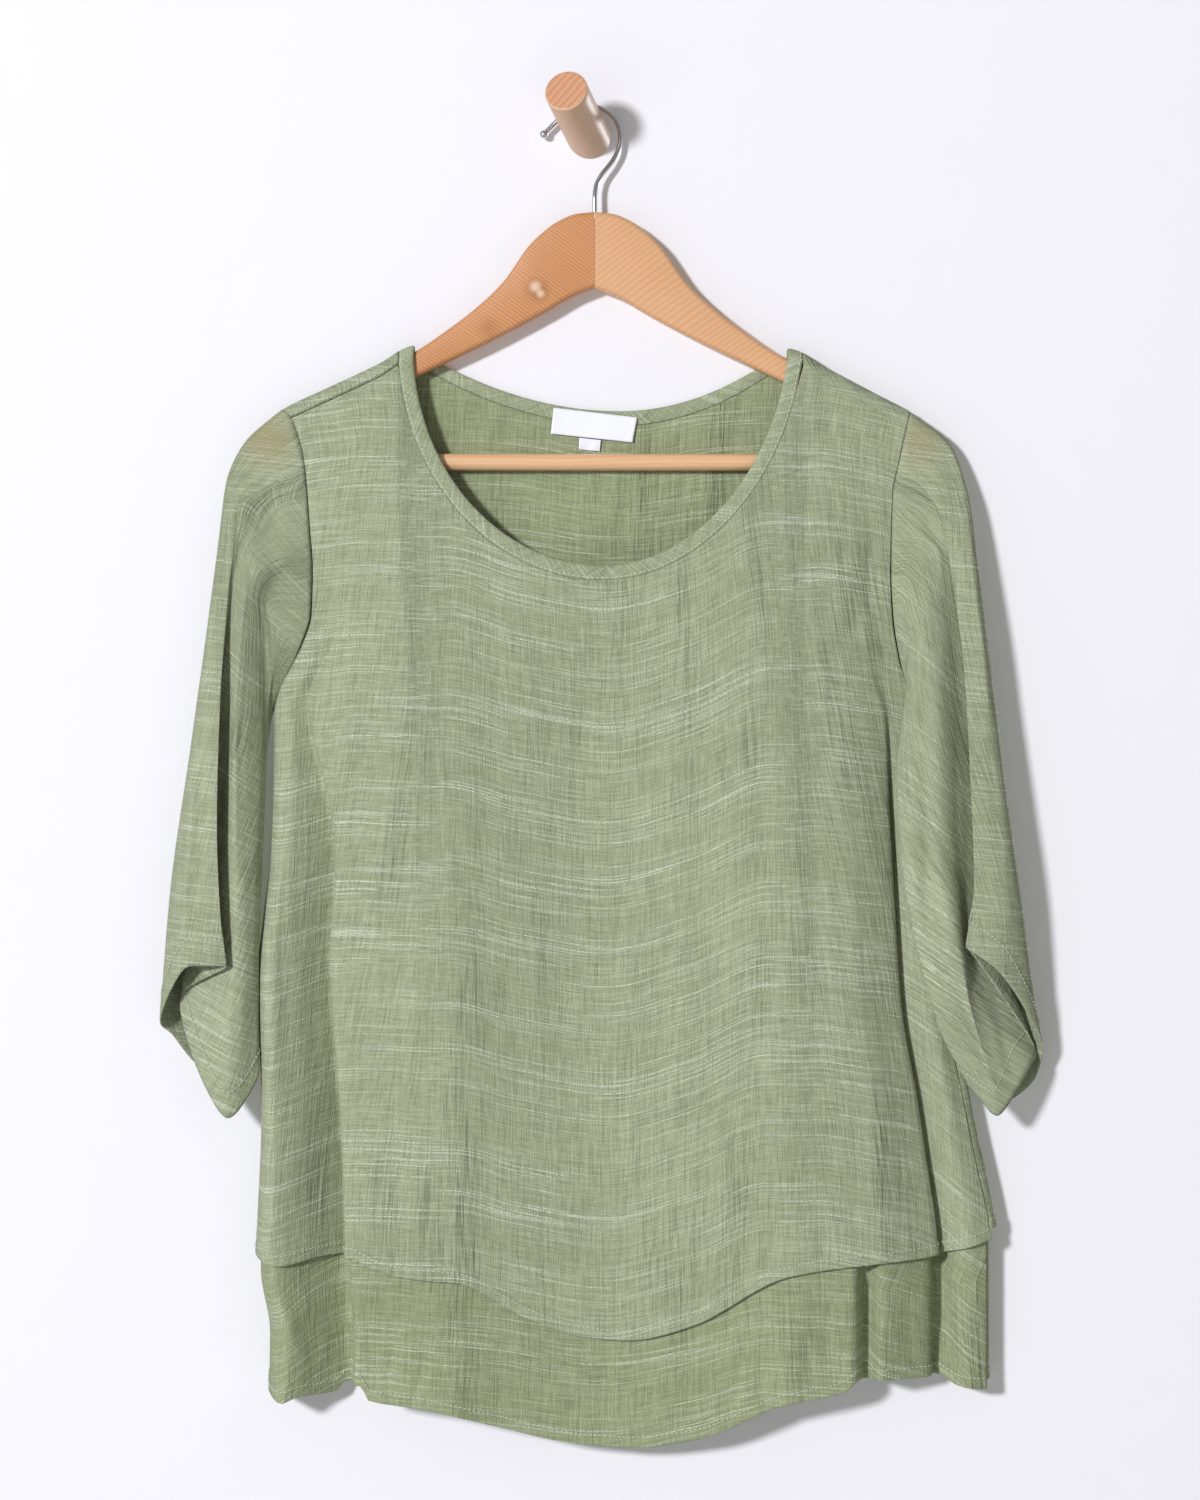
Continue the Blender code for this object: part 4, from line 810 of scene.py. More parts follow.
def makePanel(name, node, grid, back, sag, material, hemDepth, dip=0.0, edges=()):
    # one layer's front or back, its seams sunk in and its hem turned
    normals = panelNormals(grid, back)
    shape = hemTurn(seamDip(grid, normals, dip, edges), normals, hemDepth)
    return makeCloth(name, node, shape, weaveMap(grid, sag), material, -1 if back else 1,
                     short=shortBack if back else shortFront)


outerFront = makePanel("outerFront", "outer_front", frontGrid, False, frontSag, outerMaterial,
                       body["hemTurn"], body["frontDip"], (0,))
outerBack = makePanel("outerBack", "outer_back", backGrid, True, backSag, outerMaterial,
                      body["hemTurn"], body["backDip"], (0, -1))


under = {
    "partFrom": -60.0, "partOver": 120.0,       # the layers part below this height, over this fall
    "sideShare": 0.35, "sideReach": 60.0,       # and less than this near the sides
    "tuck": 2.6, "tuckReach": 30.0,             # the side seams lie this far inside the upper layer's
    "leastTuck": (0.5, 0.0),                    # share of it kept below the underarm, left and right
    "rowStep": 3.4, "backRowStep": 5.0,
    "sideBend": (-120.0, 90.0),                 # left of this, over this width, it follows the side's line
    "cleft": {"x": 174.0, "half": 9.0, "from": -560.0, "over": 50.0, "depth": 17.0},
}


def underLayer(grid, back, hem, folds):
    # the layer beneath: moved in from the outer one, then carried on down to its own hem
    normals = panelNormals(grid, back)
    soft = normals.copy()
    for shift in (1, 2, 3):
        soft[:, shift:] += normals[:, :-shift]
        soft[:, :-shift] += normals[:, shift:]
    x, height = grid[:, :, 0], grid[:, :, 1]
    fall = np.clip((under["partFrom"] - height) / under["partOver"], 0, 1)
    fromSide = np.minimum(x - sideLeft(height), sideRight(height) - x)
    part = np.clip(under["sideShare"] + fromSide / under["sideReach"], under["sideShare"], 1)
    away = body["layerGap"] + (body["layerHang"] - body["layerGap"]) * fall * part
    inner = grid - unit(soft) * away[..., None]
    for edge, side, least in zip((0, -1), (1, -1), under["leastTuck"]):
        edgeX, edgeHeight = inner[:, edge, 0].copy(), inner[:, edge, 1]
        share = np.clip((edgeHeight - body["underarm"]) / under["tuckReach"] + 1, 0, 1)
        tuck = under["tuck"] * np.maximum(least, share)
        near = np.clip(1 - np.abs(inner[:, :, 0] - edgeX[:, None]) / under["tuckReach"], 0, 1)
        inner[:, :, 0] += side * tuck[:, None] * near
    inner = relax(inner, 2)
    cut = len(inner) - len(lastRuns) + 1
    inner, last = inner[:cut], inner[cut - 1]
    left = last[:, 1] - hem(last[:, 0]) - (body["backHemRise"] if back else 0)
    count = int(left.max() / under["backRowStep" if back else "rowStep"])
    runs = np.concatenate((np.linspace(0, 1, count)[1:-1, None] * (left - lastRuns[0])[None],
                           left[None] - np.array(lastRuns)[:, None]))
    extra = np.repeat(last[None], len(runs), axis=0)
    extra[:, :, 1] -= runs
    shift = sideLeft(extra[:, :, 1]) - sideLeft(last[:, 1])[None]
    bend, width = under["sideBend"]
    extra[:, :, 0] += shift * np.clip((bend - last[:, 0]) / width, 0, 1)[None]
    inner = np.concatenate((inner, extra))
    if not back:
        cleft = under["cleft"]
        near = np.clip(1 - np.abs(inner[:, :, 0] - cleft["x"]) / cleft["half"], 0, 1)
        below = np.clip((cleft["from"] - inner[:, :, 1]) / cleft["over"], 0, 1)
        inner[:, :, 2] -= cleft["depth"] * near * near * (3 - 2 * near) * below
    return addFolds(inner, folds)


innerFrontGrid = underLayer(frontGrid, False, innerHem, innerFolds)
innerBackGrid = underLayer(backGrid, True, innerHem, ())
innerFront = makePanel("innerFront", "inner_front", innerFrontGrid, False, innerSag, innerMaterial,
                       body["underHemTurn"])
innerBack = makePanel("innerBack", "inner_back", innerBackGrid, True, backSag, innerMaterial,
                      body["underHemTurn"])
print("body layers made")

# The sleeves: closed rings from the armhole down to the cuff.
sleeves = {
    "rows": 120,
    "columnShare": 9,               # columns for each of the plan's
    "gap": 0.25,
    "crowding": 1.15,               # rows crowd toward the armhole
    "ease": 4,                      # and leave its line by this power
    "hem": 19.0,
    "hemProud": 0.3,
    "seamDip": 0.5, "dipRow": 3.4, "dipReach": 3.0,
    "softening": (4, 0.4),          # rounds and share
    "foldsFrom": 14,                # the folds deepen over the first of this many parts of the length
    # fall of the thread toward the right, by height
    "threadLeft": ((-500, 0.45), (-400, 0.5), (-260, 0.7), (-160, 1.05), (-80, 1.3)),
    "threadRight": ((-500, 0.6), (-300, 0.75), (-160, 0.9), (-80, 1.1)),
    "threadStrip": 0.12,
    "threadStart": 225,
    "frontSpan": ((2.6, 3.8, 8.0, 9.6), (0, 1, 1, 0)),      # plan places that lie in front
    # round from the outer edge by the front: arm (0 shoulder, 1 underarm, 2 shoulder again), columns,
    # then rows of (height, x, depth)
    "left": (
        ("outer", 0.0, 4, ((-64, -230.5, 11), (-89, -241, 14), (-124, -245, 18), (-195, -254, 22),
         (-262, -263, 24), (-354, -276, 25), (-438, -283, 24))),
        ("strip", 0.14, 2, ((-72, -224, 20), (-100, -240, 24), (-160, -247, 31), (-262, -255, 41),
         (-354, -263, 44), (-401, -261, 45))),
        ("edge", 0.23, 1, ((-84, -218, 24), (-105, -233, 26), (-139, -236, 29), (-178, -239, 33),
         (-230, -242, 40), (-308, -243.5, 46), (-373, -241, 47), (-401, -237.5, 46))),
        ("edgeBack", 0.25, 1, ((-84, -217, 23.5), (-105, -231, 25.5), (-139, -235, 28), (-178, -239, 31),
         (-230, -243, 36), (-308, -244.5, 41), (-373, -242, 42), (-403, -238.5, 42))),
        ("under", 0.31, 1, ((-105, -227, 25), (-135, -232, 27), (-178, -238, 27.5), (-230, -246, 25),
         (-308, -257, 21), (-373, -264, 20), (-424, -271, 20))),
        ("fold", 0.37, 2, ((-110, -221, 26.5), (-135, -227, 29), (-178, -232, 30.5), (-230, -238, 28.5),
         (-308, -245, 26), (-373, -252, 25), (-457, -263, 25))),
        ("roll", 0.45, 2, ((-120, -214, 28), (-160, -226, 34), (-243, -231, 38.5), (-308, -232, 40),
         (-373, -232, 40.5), (-450, -236, 40), (-499.5, -238, 38))),
        ("hollow", 0.56, 2, ((-140, -206, 25), (-165, -215, 26), (-204, -216, 24), (-240, -216, 25),
         (-310, -218, 29), (-400, -221, 33), (-486, -225, 34))),
        ("panel", 0.75, 2, ((-190, -201, 23), (-215, -210, 20), (-240, -213, 19), (-310, -215.5, 22),
         (-400, -218.5, 26), (-473, -218.5, 29))),
        ("inner", 1.0, 2, ((-262, -214, 14), (-310, -216.5, 15), (-400, -221.5, 17), (-471, -221, 20))),
        ("backInner", 1.3, 2, ((-200, -203, 4), (-240, -214, 5), (-310, -222, 6), (-400, -229, 6),
         (-478, -234, 8))),
        ("backMiddle", 1.6, 2, ((-130, -212, 3), (-200, -230, 4), (-310, -243, 6), (-400, -255, 5),
         (-469, -259, 6))),
        ("backOuter", 1.86, 4, ((-75, -226, 3), (-110, -236, 6), (-200, -248, 9), (-310, -264, 11),
         (-400, -275, 11), (-448, -276, 12))),
    ),
    "right": (
        ("outer", 0.0, 4, ((-64, 230.6, 11), (-86, 238.4, 14), (-102, 242.3, 16), (-138, 246.9, 19),
         (-191, 253.4, 22), (-275, 263.2, 24), (-360, 275, 25), (-426, 283.4, 24), (-456, 289, 22))),
        ("strip", 0.14, 2, ((-75, 224, 20), (-102, 236, 26), (-138, 241, 32), (-191, 247, 38),
         (-275, 255, 43), (-360, 262, 47), (-404, 257, 47))),
        ("edge", 0.25, 1, ((-84, 214, 24), (-105, 220, 26.5), (-125, 225, 29), (-165, 231, 33.5),
         (-217, 236.6, 39.5), (-269, 239, 44), (-347, 241.5, 49), (-389, 236, 50))),
        ("edgeBack", 0.27, 1, ((-84, 213, 23.5), (-105, 220, 25.5), (-125, 225.5, 27.5),
         (-165, 231.8, 30.5), (-217, 237.6, 35), (-269, 240, 39.5), (-347, 242.5, 43.5), (-390, 238, 44))),
        ("under", 0.33, 1, ((-105, 218, 26), (-135, 228, 27), (-165, 235, 26), (-217, 243, 23),
         (-269, 248, 20.5), (-347, 254, 19), (-400, 262, 17), (-430, 274, 16.5), (-458, 285.5, 18.5))),
        ("fold", 0.39, 2, ((-110, 211, 27.5), (-135, 222, 29), (-165, 228, 29), (-217, 234, 27.5),
         (-269, 238, 26.5), (-347, 240, 27), (-393, 239, 30), (-428, 250, 31), (-446, 264, 30),
         (-465, 281, 29))),
        ("roll", 0.47, 2, ((-130, 210, 30), (-165, 215, 35), (-217, 218, 38.5), (-269, 218, 41),
         (-347, 224, 42), (-420, 238, 42.5), (-470, 252, 40), (-498, 258, 37))),
        ("innerFront", 0.62, 2, ((-165, 199, 27), (-190, 202, 32), (-236, 203, 37), (-294, 202, 40),
         (-347, 206, 42), (-409, 219, 42), (-454, 234, 39), (-489, 248, 35))),
        ("panel", 0.8, 2, ((-215, 200, 29), (-250, 196, 34), (-294, 193.5, 36), (-347, 198, 37),
         (-409, 211, 37), (-441, 220, 36), (-482, 242, 33))),
        ("inner", 1.0, 2, ((-254, 203, 23), (-270, 196, 29), (-294, 191.5, 31.5), (-330, 194, 32),
         (-385, 204, 32), (-425, 221, 31.5), (-457, 231, 31), (-480, 240, 30))),
        ("backInner", 1.18, 2, ((-225, 213, 9), (-250, 213, 24), (-294, 211, 28.5), (-347, 219, 29),
         (-409, 234, 29), (-457, 245, 28), (-486, 250, 27))),
        ("backMiddle", 1.5, 2, ((-130, 208, 3), (-190, 226, 4), (-250, 238, 7), (-320, 248, 9),
         (-400, 258, 9), (-450, 264, 9), (-492, 264, 11))),
        ("backOuter", 1.86, 4, ((-75, 225, 3), (-110, 235, 6), (-190, 246, 9), (-275, 257, 11),
         (-360, 268, 11), (-430, 279, 12), (-474, 286, 13))),
    ),
    "leftFolds": (
        (-232, -120, -236, -330, 3.0, 1.2), (-226, -150, -229, -420, 3.5, -1.2),
        (-250, -150, -262, -400, 4.0, -1.3), (-256, -210, -270, -420, 3.0, 0.9),
        (-240, -60, -206, -180, 6.0, 1.0), (-222, -70, -196, -190, 5.0, -1.1),
        (-236, -330, -247, -470, 4.0, -1.2), (-225, -250, -230, -460, 3.0, 1.0),
        (-246, -420, -240, -492, 3.0, 0.9), (-212, -60, -194, -140, 4.0, 0.8),
        (-252, -440, -258, -462, 3.0, -0.9),
    ),
    "rightFolds": (
        (205, -60, 226, -190, 5.0, -1.2), (214, -56, 236, -160, 5.0, 0.9), (206, -130, 224, -260, 6.0, 1.0),
        (204, -210, 216, -420, 5.0, -1.4), (214, -240, 228, -440, 4.0, 1.1),
        (232, -240, 238, -400, 3.0, -0.9), (250, -150, 266, -380, 4.0, -1.2),
        (258, -200, 276, -420, 3.0, 0.9), (228, -400, 252, -486, 4.0, -1.3),
        (240, -390, 262, -478, 3.6, 1.1), (256, -420, 270, -476, 3.0, -1.0),
        (198, -110, 208, -200, 4.0, -0.9),
    ),
}


def sleeveGrid(lines, left):
    column, out = (0, -sleeves["gap"]) if left else (-1, sleeves["gap"])
    frontEdge = frontGrid[body["turnRows"] if left else 0:, column] + (out, 0, 0)
    backEdge = backGrid[:, column] + (out, 0, 0)
    loop = np.concatenate((backEdge[::-1], frontEdge))
    underFront = len(backEdge) + int(np.argmax(frontEdge[:, 1] < body["underarm"]))
    underBack = len(backEdge) - int(np.argmax(backEdge[:, 1] < body["underarm"])) - 1
    length = lengthsAlong(loop)
    length -= length[int(np.argmax(loop[:, 1]))]

    def atUnderarm(i, j):
        share = (body["underarm"] - loop[i, 1]) / (loop[j, 1] - loop[i, 1])
        return length[i] + (length[j] - length[i]) * share

    reachFront, reachBack = atUnderarm(underFront - 1, underFront), atUnderarm(underBack + 1, underBack)

    def edgeAt(arm):
        return sample(arm * reachFront if arm <= 1 else (2 - arm) * reachBack, length, loop)

    share = sleeves["columnShare"]
    places = [i + j / (line[2] * share) for i, line in enumerate(lines) for j in range(line[2] * share)]
    arms = np.interp(places, np.arange(len(lines) + 1), [line[1] for line in lines] + [2.0])
    edge = np.array([edgeAt(arm) for arm in arms])
    starts = [edgeAt(line[1]) for line in lines]
    index = np.arange(-1, len(lines) + 2)
    rows = []
    for row in range(sleeves["rows"] + 1):
        down = (row / sleeves["rows"]) ** sleeves["crowding"]
        knots = []
        for line, start in zip(lines, starts):
            further = [place for place in line[3] if place[0] < start[1] - 10]
            hs, xs, depths = zip((start[1], start[0], start[2]), *further)
            height = hs[0] + (hs[-1] - hs[0]) * down
            knots.append((float(flow(hs, xs, height)), height, float(flow(hs, depths, height))))
        knots = np.array([knots[-1]] + knots + [knots[0], knots[1]])
        ring = np.stack([flow(index, knots[:, axis], places) for axis in range(3)], axis=1)
        if row == 0:
            off = edge - ring
        rows.append(ring + off * (1 - down) ** sleeves["ease"])
    return np.array(rows), np.array(places)


def sleeveMap(grid, places, left):
    # the thread runs down to the right across the sleeve's front, and level on its outer strip
    closed = np.concatenate((grid, grid[:, :1]), axis=1)
    inFront = np.interp(np.append(places, places[-1] + 1), *sleeves["frontSpan"])
    steep = flow(*zip(*sleeves["threadLeft" if left else "threadRight"]), closed[:, :, 1])
    slope = sleeves["threadStrip"] + (steep - sleeves["threadStrip"]) * inFront
    start = sleeves["threadStart"] * (-1 if left else 1)
    up = closed[:, :, 1] + slope * (closed[:, :, 0] - start)
    return np.stack((lengthsAlong(closed, 1), up), axis=-1) / 1000


def makeSleeve(name, side):
    way = 1 if side == "left" else -1
    grid, places = sleeveGrid(sleeves[side], way > 0)
    grid = relax(grid, *sleeves["softening"], True)
    normals = gridNormals(grid, closed=True) * way
    facing = np.clip(normals[:, :, 2:3] * 2, 0, 1)
    folded = addFolds(grid.copy(), sleeves[side + "Folds"])
    down = np.linspace(0, 1, len(grid))[:, None, None]
    grid = grid + (folded - grid) * facing * np.clip(down * sleeves["foldsFrom"], 0, 1)
    cloth = sleeveMap(grid, places, way > 0)
    dip = np.exp(-(np.arange(len(grid)) * sleeves["dipRow"] / sleeves["dipReach"]) ** 2)[:, None, None]
    grid = hemTurn(grid - normals * sleeves["seamDip"] * dip, normals, sleeves["hem"], sleeves["hemProud"])
    piece = makeCloth(name, "sleeve_" + side, grid, cloth, sleeveMaterial, way, closed=True)
    return grid, gridNormals(grid, closed=True) * way, piece


leftSleeveGrid, leftNormals, leftSleeve = makeSleeve("sleeveLeft", "left")
rightSleeveGrid, rightNormals, rightSleeve = makeSleeve("sleeveRight", "right")
print("sleeves made", leftSleeveGrid.shape)

# The neck band: a narrow tube over the neck's edge, front and back.

neckBand = {
    "frontStations": 170, "backStations": 130, "turnStations": 16,
    "columnStep": 3.0, "pucker": 0.10, "lastRun": 30.0,
    # across the band, from its sewn edge over the neck edge to the inside: (in from the edge, proud)
    "section": ((9.7, -0.5), (9.4, 0.0), (8.4, 0.28), (6.5, 0.4), (4.2, 0.45), (2.0, 0.3), (0.7, -0.1),
                (0.1, -0.8), (0.1, -1.5), (0.7, -2.2), (2.2, -2.6), (5.0, -2.7), (8.4, -2.6), (9.4, -2.2)),
}


def neckRing(margin):
    ring = []
    for back, lines, count in ((False, frontLines, neckBand["frontStations"]),
                               (True, backLines, neckBand["backStations"])):
        shares = np.linspace(0, 1, count)
        for share in shares[::-1] if back else shares:
            x, drop = neckline(back, share, margin)
            height = float(heightAt(x, drop))
            place = np.interp(1 + share, [line[1] for line in lines], np.arange(len(lines)))
            depth = float(depthOf(lines, np.array([place]), np.array([height]), np.array([drop]))[0])
            ring.append((x, height, depth))
        x = neckEnd(-1 if back else 1, margin)
        ends = (-turnArc, body["shoulderDrop"]) if back else (turnArc, -turnArc)
        for drop in np.linspace(*ends, neckBand["turnStations"] + 2)[1:-1]:
            ring.append((x, float(heightAt(x, drop)), float(depthOnTurn(drop))))
    return np.array(ring)


edges = [smoothRing(neckRing(margin), 3) for margin in (0.0, neck["band"])]
along = np.roll(edges[0], -1, axis=0) - np.roll(edges[0], 1, axis=0)
outward = unit(smoothRing(unit(np.cross(edges[1] - edges[0], along)), 6))
if outward[neckBand["frontStations"] // 2, 2] < 0:
    outward = -outward
puckers = neckBand["pucker"] * np.sin(np.arange(len(edges[0])) * 1.7)
bandGrid = []
for inset, proud in neckBand["section"]:
    base = edges[0] + (edges[1] - edges[0]) * (inset / neck["band"])
    bandGrid.append(base + outward * (proud + puckers * (proud > 0))[:, None])
bandGrid = np.array(bandGrid)


def closedTube(name, grid, material, node):
    # a tube closed both ways, with cloth coordinates along and round it
    rows, columns = grid.shape[:2]
    length = lengthsAlong(np.concatenate((grid[0], grid[0, :1])))
    girth = np.append(lengthsAlong(grid[:, 0]), neckBand["lastRun"])
    faces, uvs = [], []
    for r in range(rows):
        for c in range(columns):
            rn, cn = (r + 1) % rows, (c + 1) % columns
            faces.append([r * columns + c, rn * columns + c, rn * columns + cn, r * columns + cn])
            uvs += [(length[c], girth[r]), (length[c], girth[r + 1]), (length[c + 1], girth[r + 1]),
                    (length[c + 1], girth[r])]
    piece = newPiece(name, toWorld(grid).reshape(-1, 3), faces, material, np.array(uvs) / 1000)
    return dress(faceOut(piece), node)


neckPiece = closedTube("neckBand", bandGrid, bandMaterial, "neck_binding")
print("neck band made")

# The stitching: rows of short threads along the hems, the cuffs, the neck and the shoulder.
stitching = {
    "length": 2.3, "pitch": 3.1, "width": 0.62, "height": 0.42, "start": 0.6, "slant": 0.22,
    "shape": ((0.0, 0.35), (0.25, 1.0), (0.75, 1.0), (1.0, 0.35)),      # along a stitch, and its size there
    "sides": 5,
    "hemUp": 6.6, "underHemUp": 7.0, "cuffUp": 17.0,    # length of cloth up from the edge
    "hemLift": 0.85, "cuffLift": 0.5, "neckLift": 0.35, "shoulderLift": 0.3,
    "neckShare": 0.82,                                  # across the neck band
    "shoulderTo": -130,                                 # the shoulder's row ends at this x
    "colour": (0.66, 0.71, 0.56, 1), "shade": 0.75,
}
threadMaterial, threadTree, threadShader = newMaterial("thread", {"Roughness": 0.7, "Sheen Weight": 0.2})
threadTwist = noise(threadTree, coords(threadTree), 2600.0, 1.0)
threadShade = tuple(value * stitching["shade"] for value in stitching["colour"][:3]) + (1,)
wear(threadTree, threadShader, mixed(threadTree, threadTwist, stitching["colour"], threadShade),
     height=threadTwist)


def stitchRow(path, normals, closed=False):
    # small threads lying along a path of garment places
    if closed:
        path, normals = np.concatenate((path, path[:1])), np.concatenate((normals, normals[:1]))
    length = lengthsAlong(path)
    starts = np.arange(stitching["start"], length[-1] - stitching["length"], stitching["pitch"])
    shape, sides = stitching["shape"], stitching["sides"]
    verts, faces = [], []
    for number, start in enumerate(starts):
        at = [start + stitching["length"] * share for share, _ in shape]
        centre, normal = sample(at, length, path), unit(sample(at, length, normals))
        side = np.cross(normal, unit(centre[-1] - centre[0]))
        slant = stitching["slant"] * math.sin(number * 12.9)
        faces += tubeFaces(len(shape), sides, len(verts))
        for k, (share, size) in enumerate(shape):
            middle = centre[k] + side[k] * slant * (share - 0.5) * 2
            for a in range(sides):
                angle = math.pi * 2 * a / sides
                verts.append(middle + side[k] * math.cos(angle) * stitching["width"] / 2 * size
                             + normal[k] * math.sin(angle) * stitching["height"] / 2 * size)
    return verts, faces


def makeStitches(name, *rows):
    verts, faces = [], []
    for row in rows:
        more, moreFaces = stitchRow(*row)
        faces += [tuple(len(verts) + i for i in face) for face in moreFaces]
        verts += more
    return dress(newPiece(name, toWorld(np.array(verts)), faces, threadMaterial))


def hemPath(grid, normals, up, lift=stitching["hemLift"]):
    # a path this length of cloth up from the hem
    length = lengthsAlong(grid[::-1])
    columns = range(grid.shape[1])
    path = np.array([sample(up, length[:, c], grid[::-1, c]) for c in columns])
    facing = np.array([sample(up, length[:, c], normals[::-1, c]) for c in columns])
    return path + facing * lift, facing


def hemPaths(frontPanel, backPanel, up):
    return [hemPath(frontPanel, panelNormals(frontPanel, False), up),
            hemPath(backPanel, panelNormals(backPanel, True), up)]


def makeCuff(name, grid, normals):
    return makeStitches(name, hemPath(grid, normals, stitching["cuffUp"], stitching["cuffLift"]) + (True,))


outerHemStitches = makeStitches("stitchesOuterHem", *hemPaths(frontGrid, backGrid, stitching["hemUp"]))
innerHemStitches = makeStitches("stitchesInnerHem",
                                *hemPaths(innerFrontGrid, innerBackGrid, stitching["underHemUp"]))
leftCuffStitches = makeCuff("stitchesCuffLeft", leftSleeveGrid, leftNormals)
rightCuffStitches = makeCuff("stitchesCuffRight", rightSleeveGrid, rightNormals)
bandEdge = edges[0] + (edges[1] - edges[0]) * stitching["neckShare"]
neckStitches = makeStitches("stitchesNeck", (bandEdge + outward * stitching["neckLift"], outward, True))
seamColumns = [c for c in range(backGrid.shape[1]) if backGrid[0, c, 0] < stitching["shoulderTo"]]
seamNormals = panelNormals(backGrid, True)[1, seamColumns]
shoulderStitches = makeStitches("stitchesShoulder", (
    backGrid[1, seamColumns] + seamNormals * stitching["shoulderLift"], seamNormals))
print("stitching laid")

# The label and the size tab, sewn in at the back neck and bare.
labels = {
    "label": {"corners": ((-28.2, -39.0), (26.3, -45.4), (23.2, -61.7), (-30.1, -56.0)), "node": "label",
              "curl": 0.5},
    "sizeTab": {"corners": ((-11.6, -58.6), (2.6, -60.2), (1.8, -67.6), (-11.8, -66.2)), "node": "size_tab",
                "curl": 0.2},
    "lift": 4.1,                    # in front of the back's outer face
    "thickness": 0.4, "ribbon": (0.055, 0.017), "rows": 15, "columns": 41,
    "endCurl": 0.6, "endReach": 3, "wave": 0.25,
    "colour": (0.86, 0.87, 0.92, 1), "shade": (0.74, 0.76, 0.84, 1),
}


def satinMaterial():
    material, tree, shader = newMaterial("labelSatin", {"Sheen Weight": 0.1, "Specular IOR Level": 0.4})
    rib = noise(tree, coords(tree, "UV"), (160, 2600, 1))
    wear(tree, shader, mixed(tree, rib, labels["colour"], labels["shade"]),
         band(tree, rib, 0.3, 0.7, 0.45, 0.62), rib, 0.00012)
    return material


def backInside(x, height):
    places = [float(linePlace(line, height)) for line in backLines]
    depths = [float(flow(heights, line[4], height)) for line in backLines]
    return float(np.interp(x, places, depths))


satin = satinMaterial()


def makeLabel(name, plan):
    a, b, c, d = (np.array(corner, float) for corner in plan["corners"])
    grid, cloth = [], []
    for v in np.linspace(0, 1, labels["rows"]):
        row, mapped = [], []
        for u in np.linspace(0, 1, labels["columns"]):
            x, height = (a * (1 - u) + b * u) * (1 - v) + (d * (1 - u) + c * u) * v
            edge = min(u, 1 - u) * np.linalg.norm(b - a)
            rise = plan["curl"] * (v ** 3 + labels["endCurl"] * math.exp(-edge / labels["endReach"]))
            rise += labels["wave"] * math.sin(u * 9 + v * 2) * v
            row.append((x, height, backInside(x, height) + labels["lift"] + rise))
            mapped.append((u * labels["ribbon"][0], v * labels["ribbon"][1]))
        grid.append(row)
        cloth.append(mapped)
    return makeCloth(name, plan["node"], np.array(grid), np.array(cloth), satin,
                     thickness=labels["thickness"])


labelPiece = makeLabel("labelBare", labels["label"])
tabPiece = makeLabel("sizeTabBare", labels["sizeTab"])
print("label and size tab made")

# The hanger: two arms mitred in the middle, and a round bar.

hanger = {
    "middle": -1.5, "depth": 10.4, "thickness": 11.4, "rounding": 4.2, "mitreGap": 0.3,
    "upper": ((0, 87.7), (12, 86.4), (24, 81.5), (33, 75), (42, 66.5), (60, 41.5), (78, 24.5), (96, 10.8),
              (117, -3.4), (142, -16), (174, -31.2), (200, -45), (212, -54), (217, -61), (218.4, -68)),
    "lower": ((0, 38), (14, 32.5), (34, 21), (68, 3), (115, -19.5), (166, -46), (190, -60), (196, -73),
              (201, -85), (207, -87), (213, -84), (217, -78), (218.4, -72)),
    "slices": (3, 214, 96), "noseSlices": (216, 217.4, 218.1, 218.39), "armEnd": 219.0, "noseLength": 8.0,
    "barDiameter": 10.9, "barHeight": -75.0, "barHalf": 196.0, "barSides": 48, "barRounding": 1.2,
    # light and dark colour, rings, streaks, coat and the grain's lean in degrees
    "woodLeft": ((0.60, 0.285, 0.115, 1), (0.42, 0.165, 0.055, 1), 150.0, 0.8, 0.25, 55),
    "woodRight": ((0.68, 0.385, 0.20, 1), (0.54, 0.265, 0.115, 1), 90.0, 0.5, 0.25, -55),
    "woodBar": ((0.74, 0.47, 0.26, 1), (0.62, 0.35, 0.17, 1), 120.0, 0.5, 0.15, 90),
    "knots": (((-38.5, 36.5, 16.1), 0.0115, 0.55, (0.26, 0.09, 0.03, 1)),
              ((-40, 38.5, 16.1), 0.0055, 0.75, (0.80, 0.60, 0.42, 1)),
              ((-36.6, 34, 16.1), 0.004, 0.7, (0.80, 0.60, 0.42, 1)),
              ((-70, 12, 16.1), 0.010, 0.30, (0.26, 0.09, 0.03, 1))),
}


def woodMaterial(name, plan, turn=None, knots=()):
    light, dark, ring, streak, coat, lean = plan
    material, tree, shader = newMaterial(name, {"Coat Roughness": 0.25, "IOR": 1.5, "Coat Weight": coat})
    place = stretch(tree, coords(tree), (1, 1, 1), turn or (0, math.radians(lean), 0))
    grain = grouped(tree, grainGroup, {"Position": place, "Light": light, "Dark": dark, "Ring": ring,
                                       "Streak": streak})
    wear(tree, shader, spotted(tree, grain["Color"], knots), grain["Roughness"], grain["Height"])
    return material


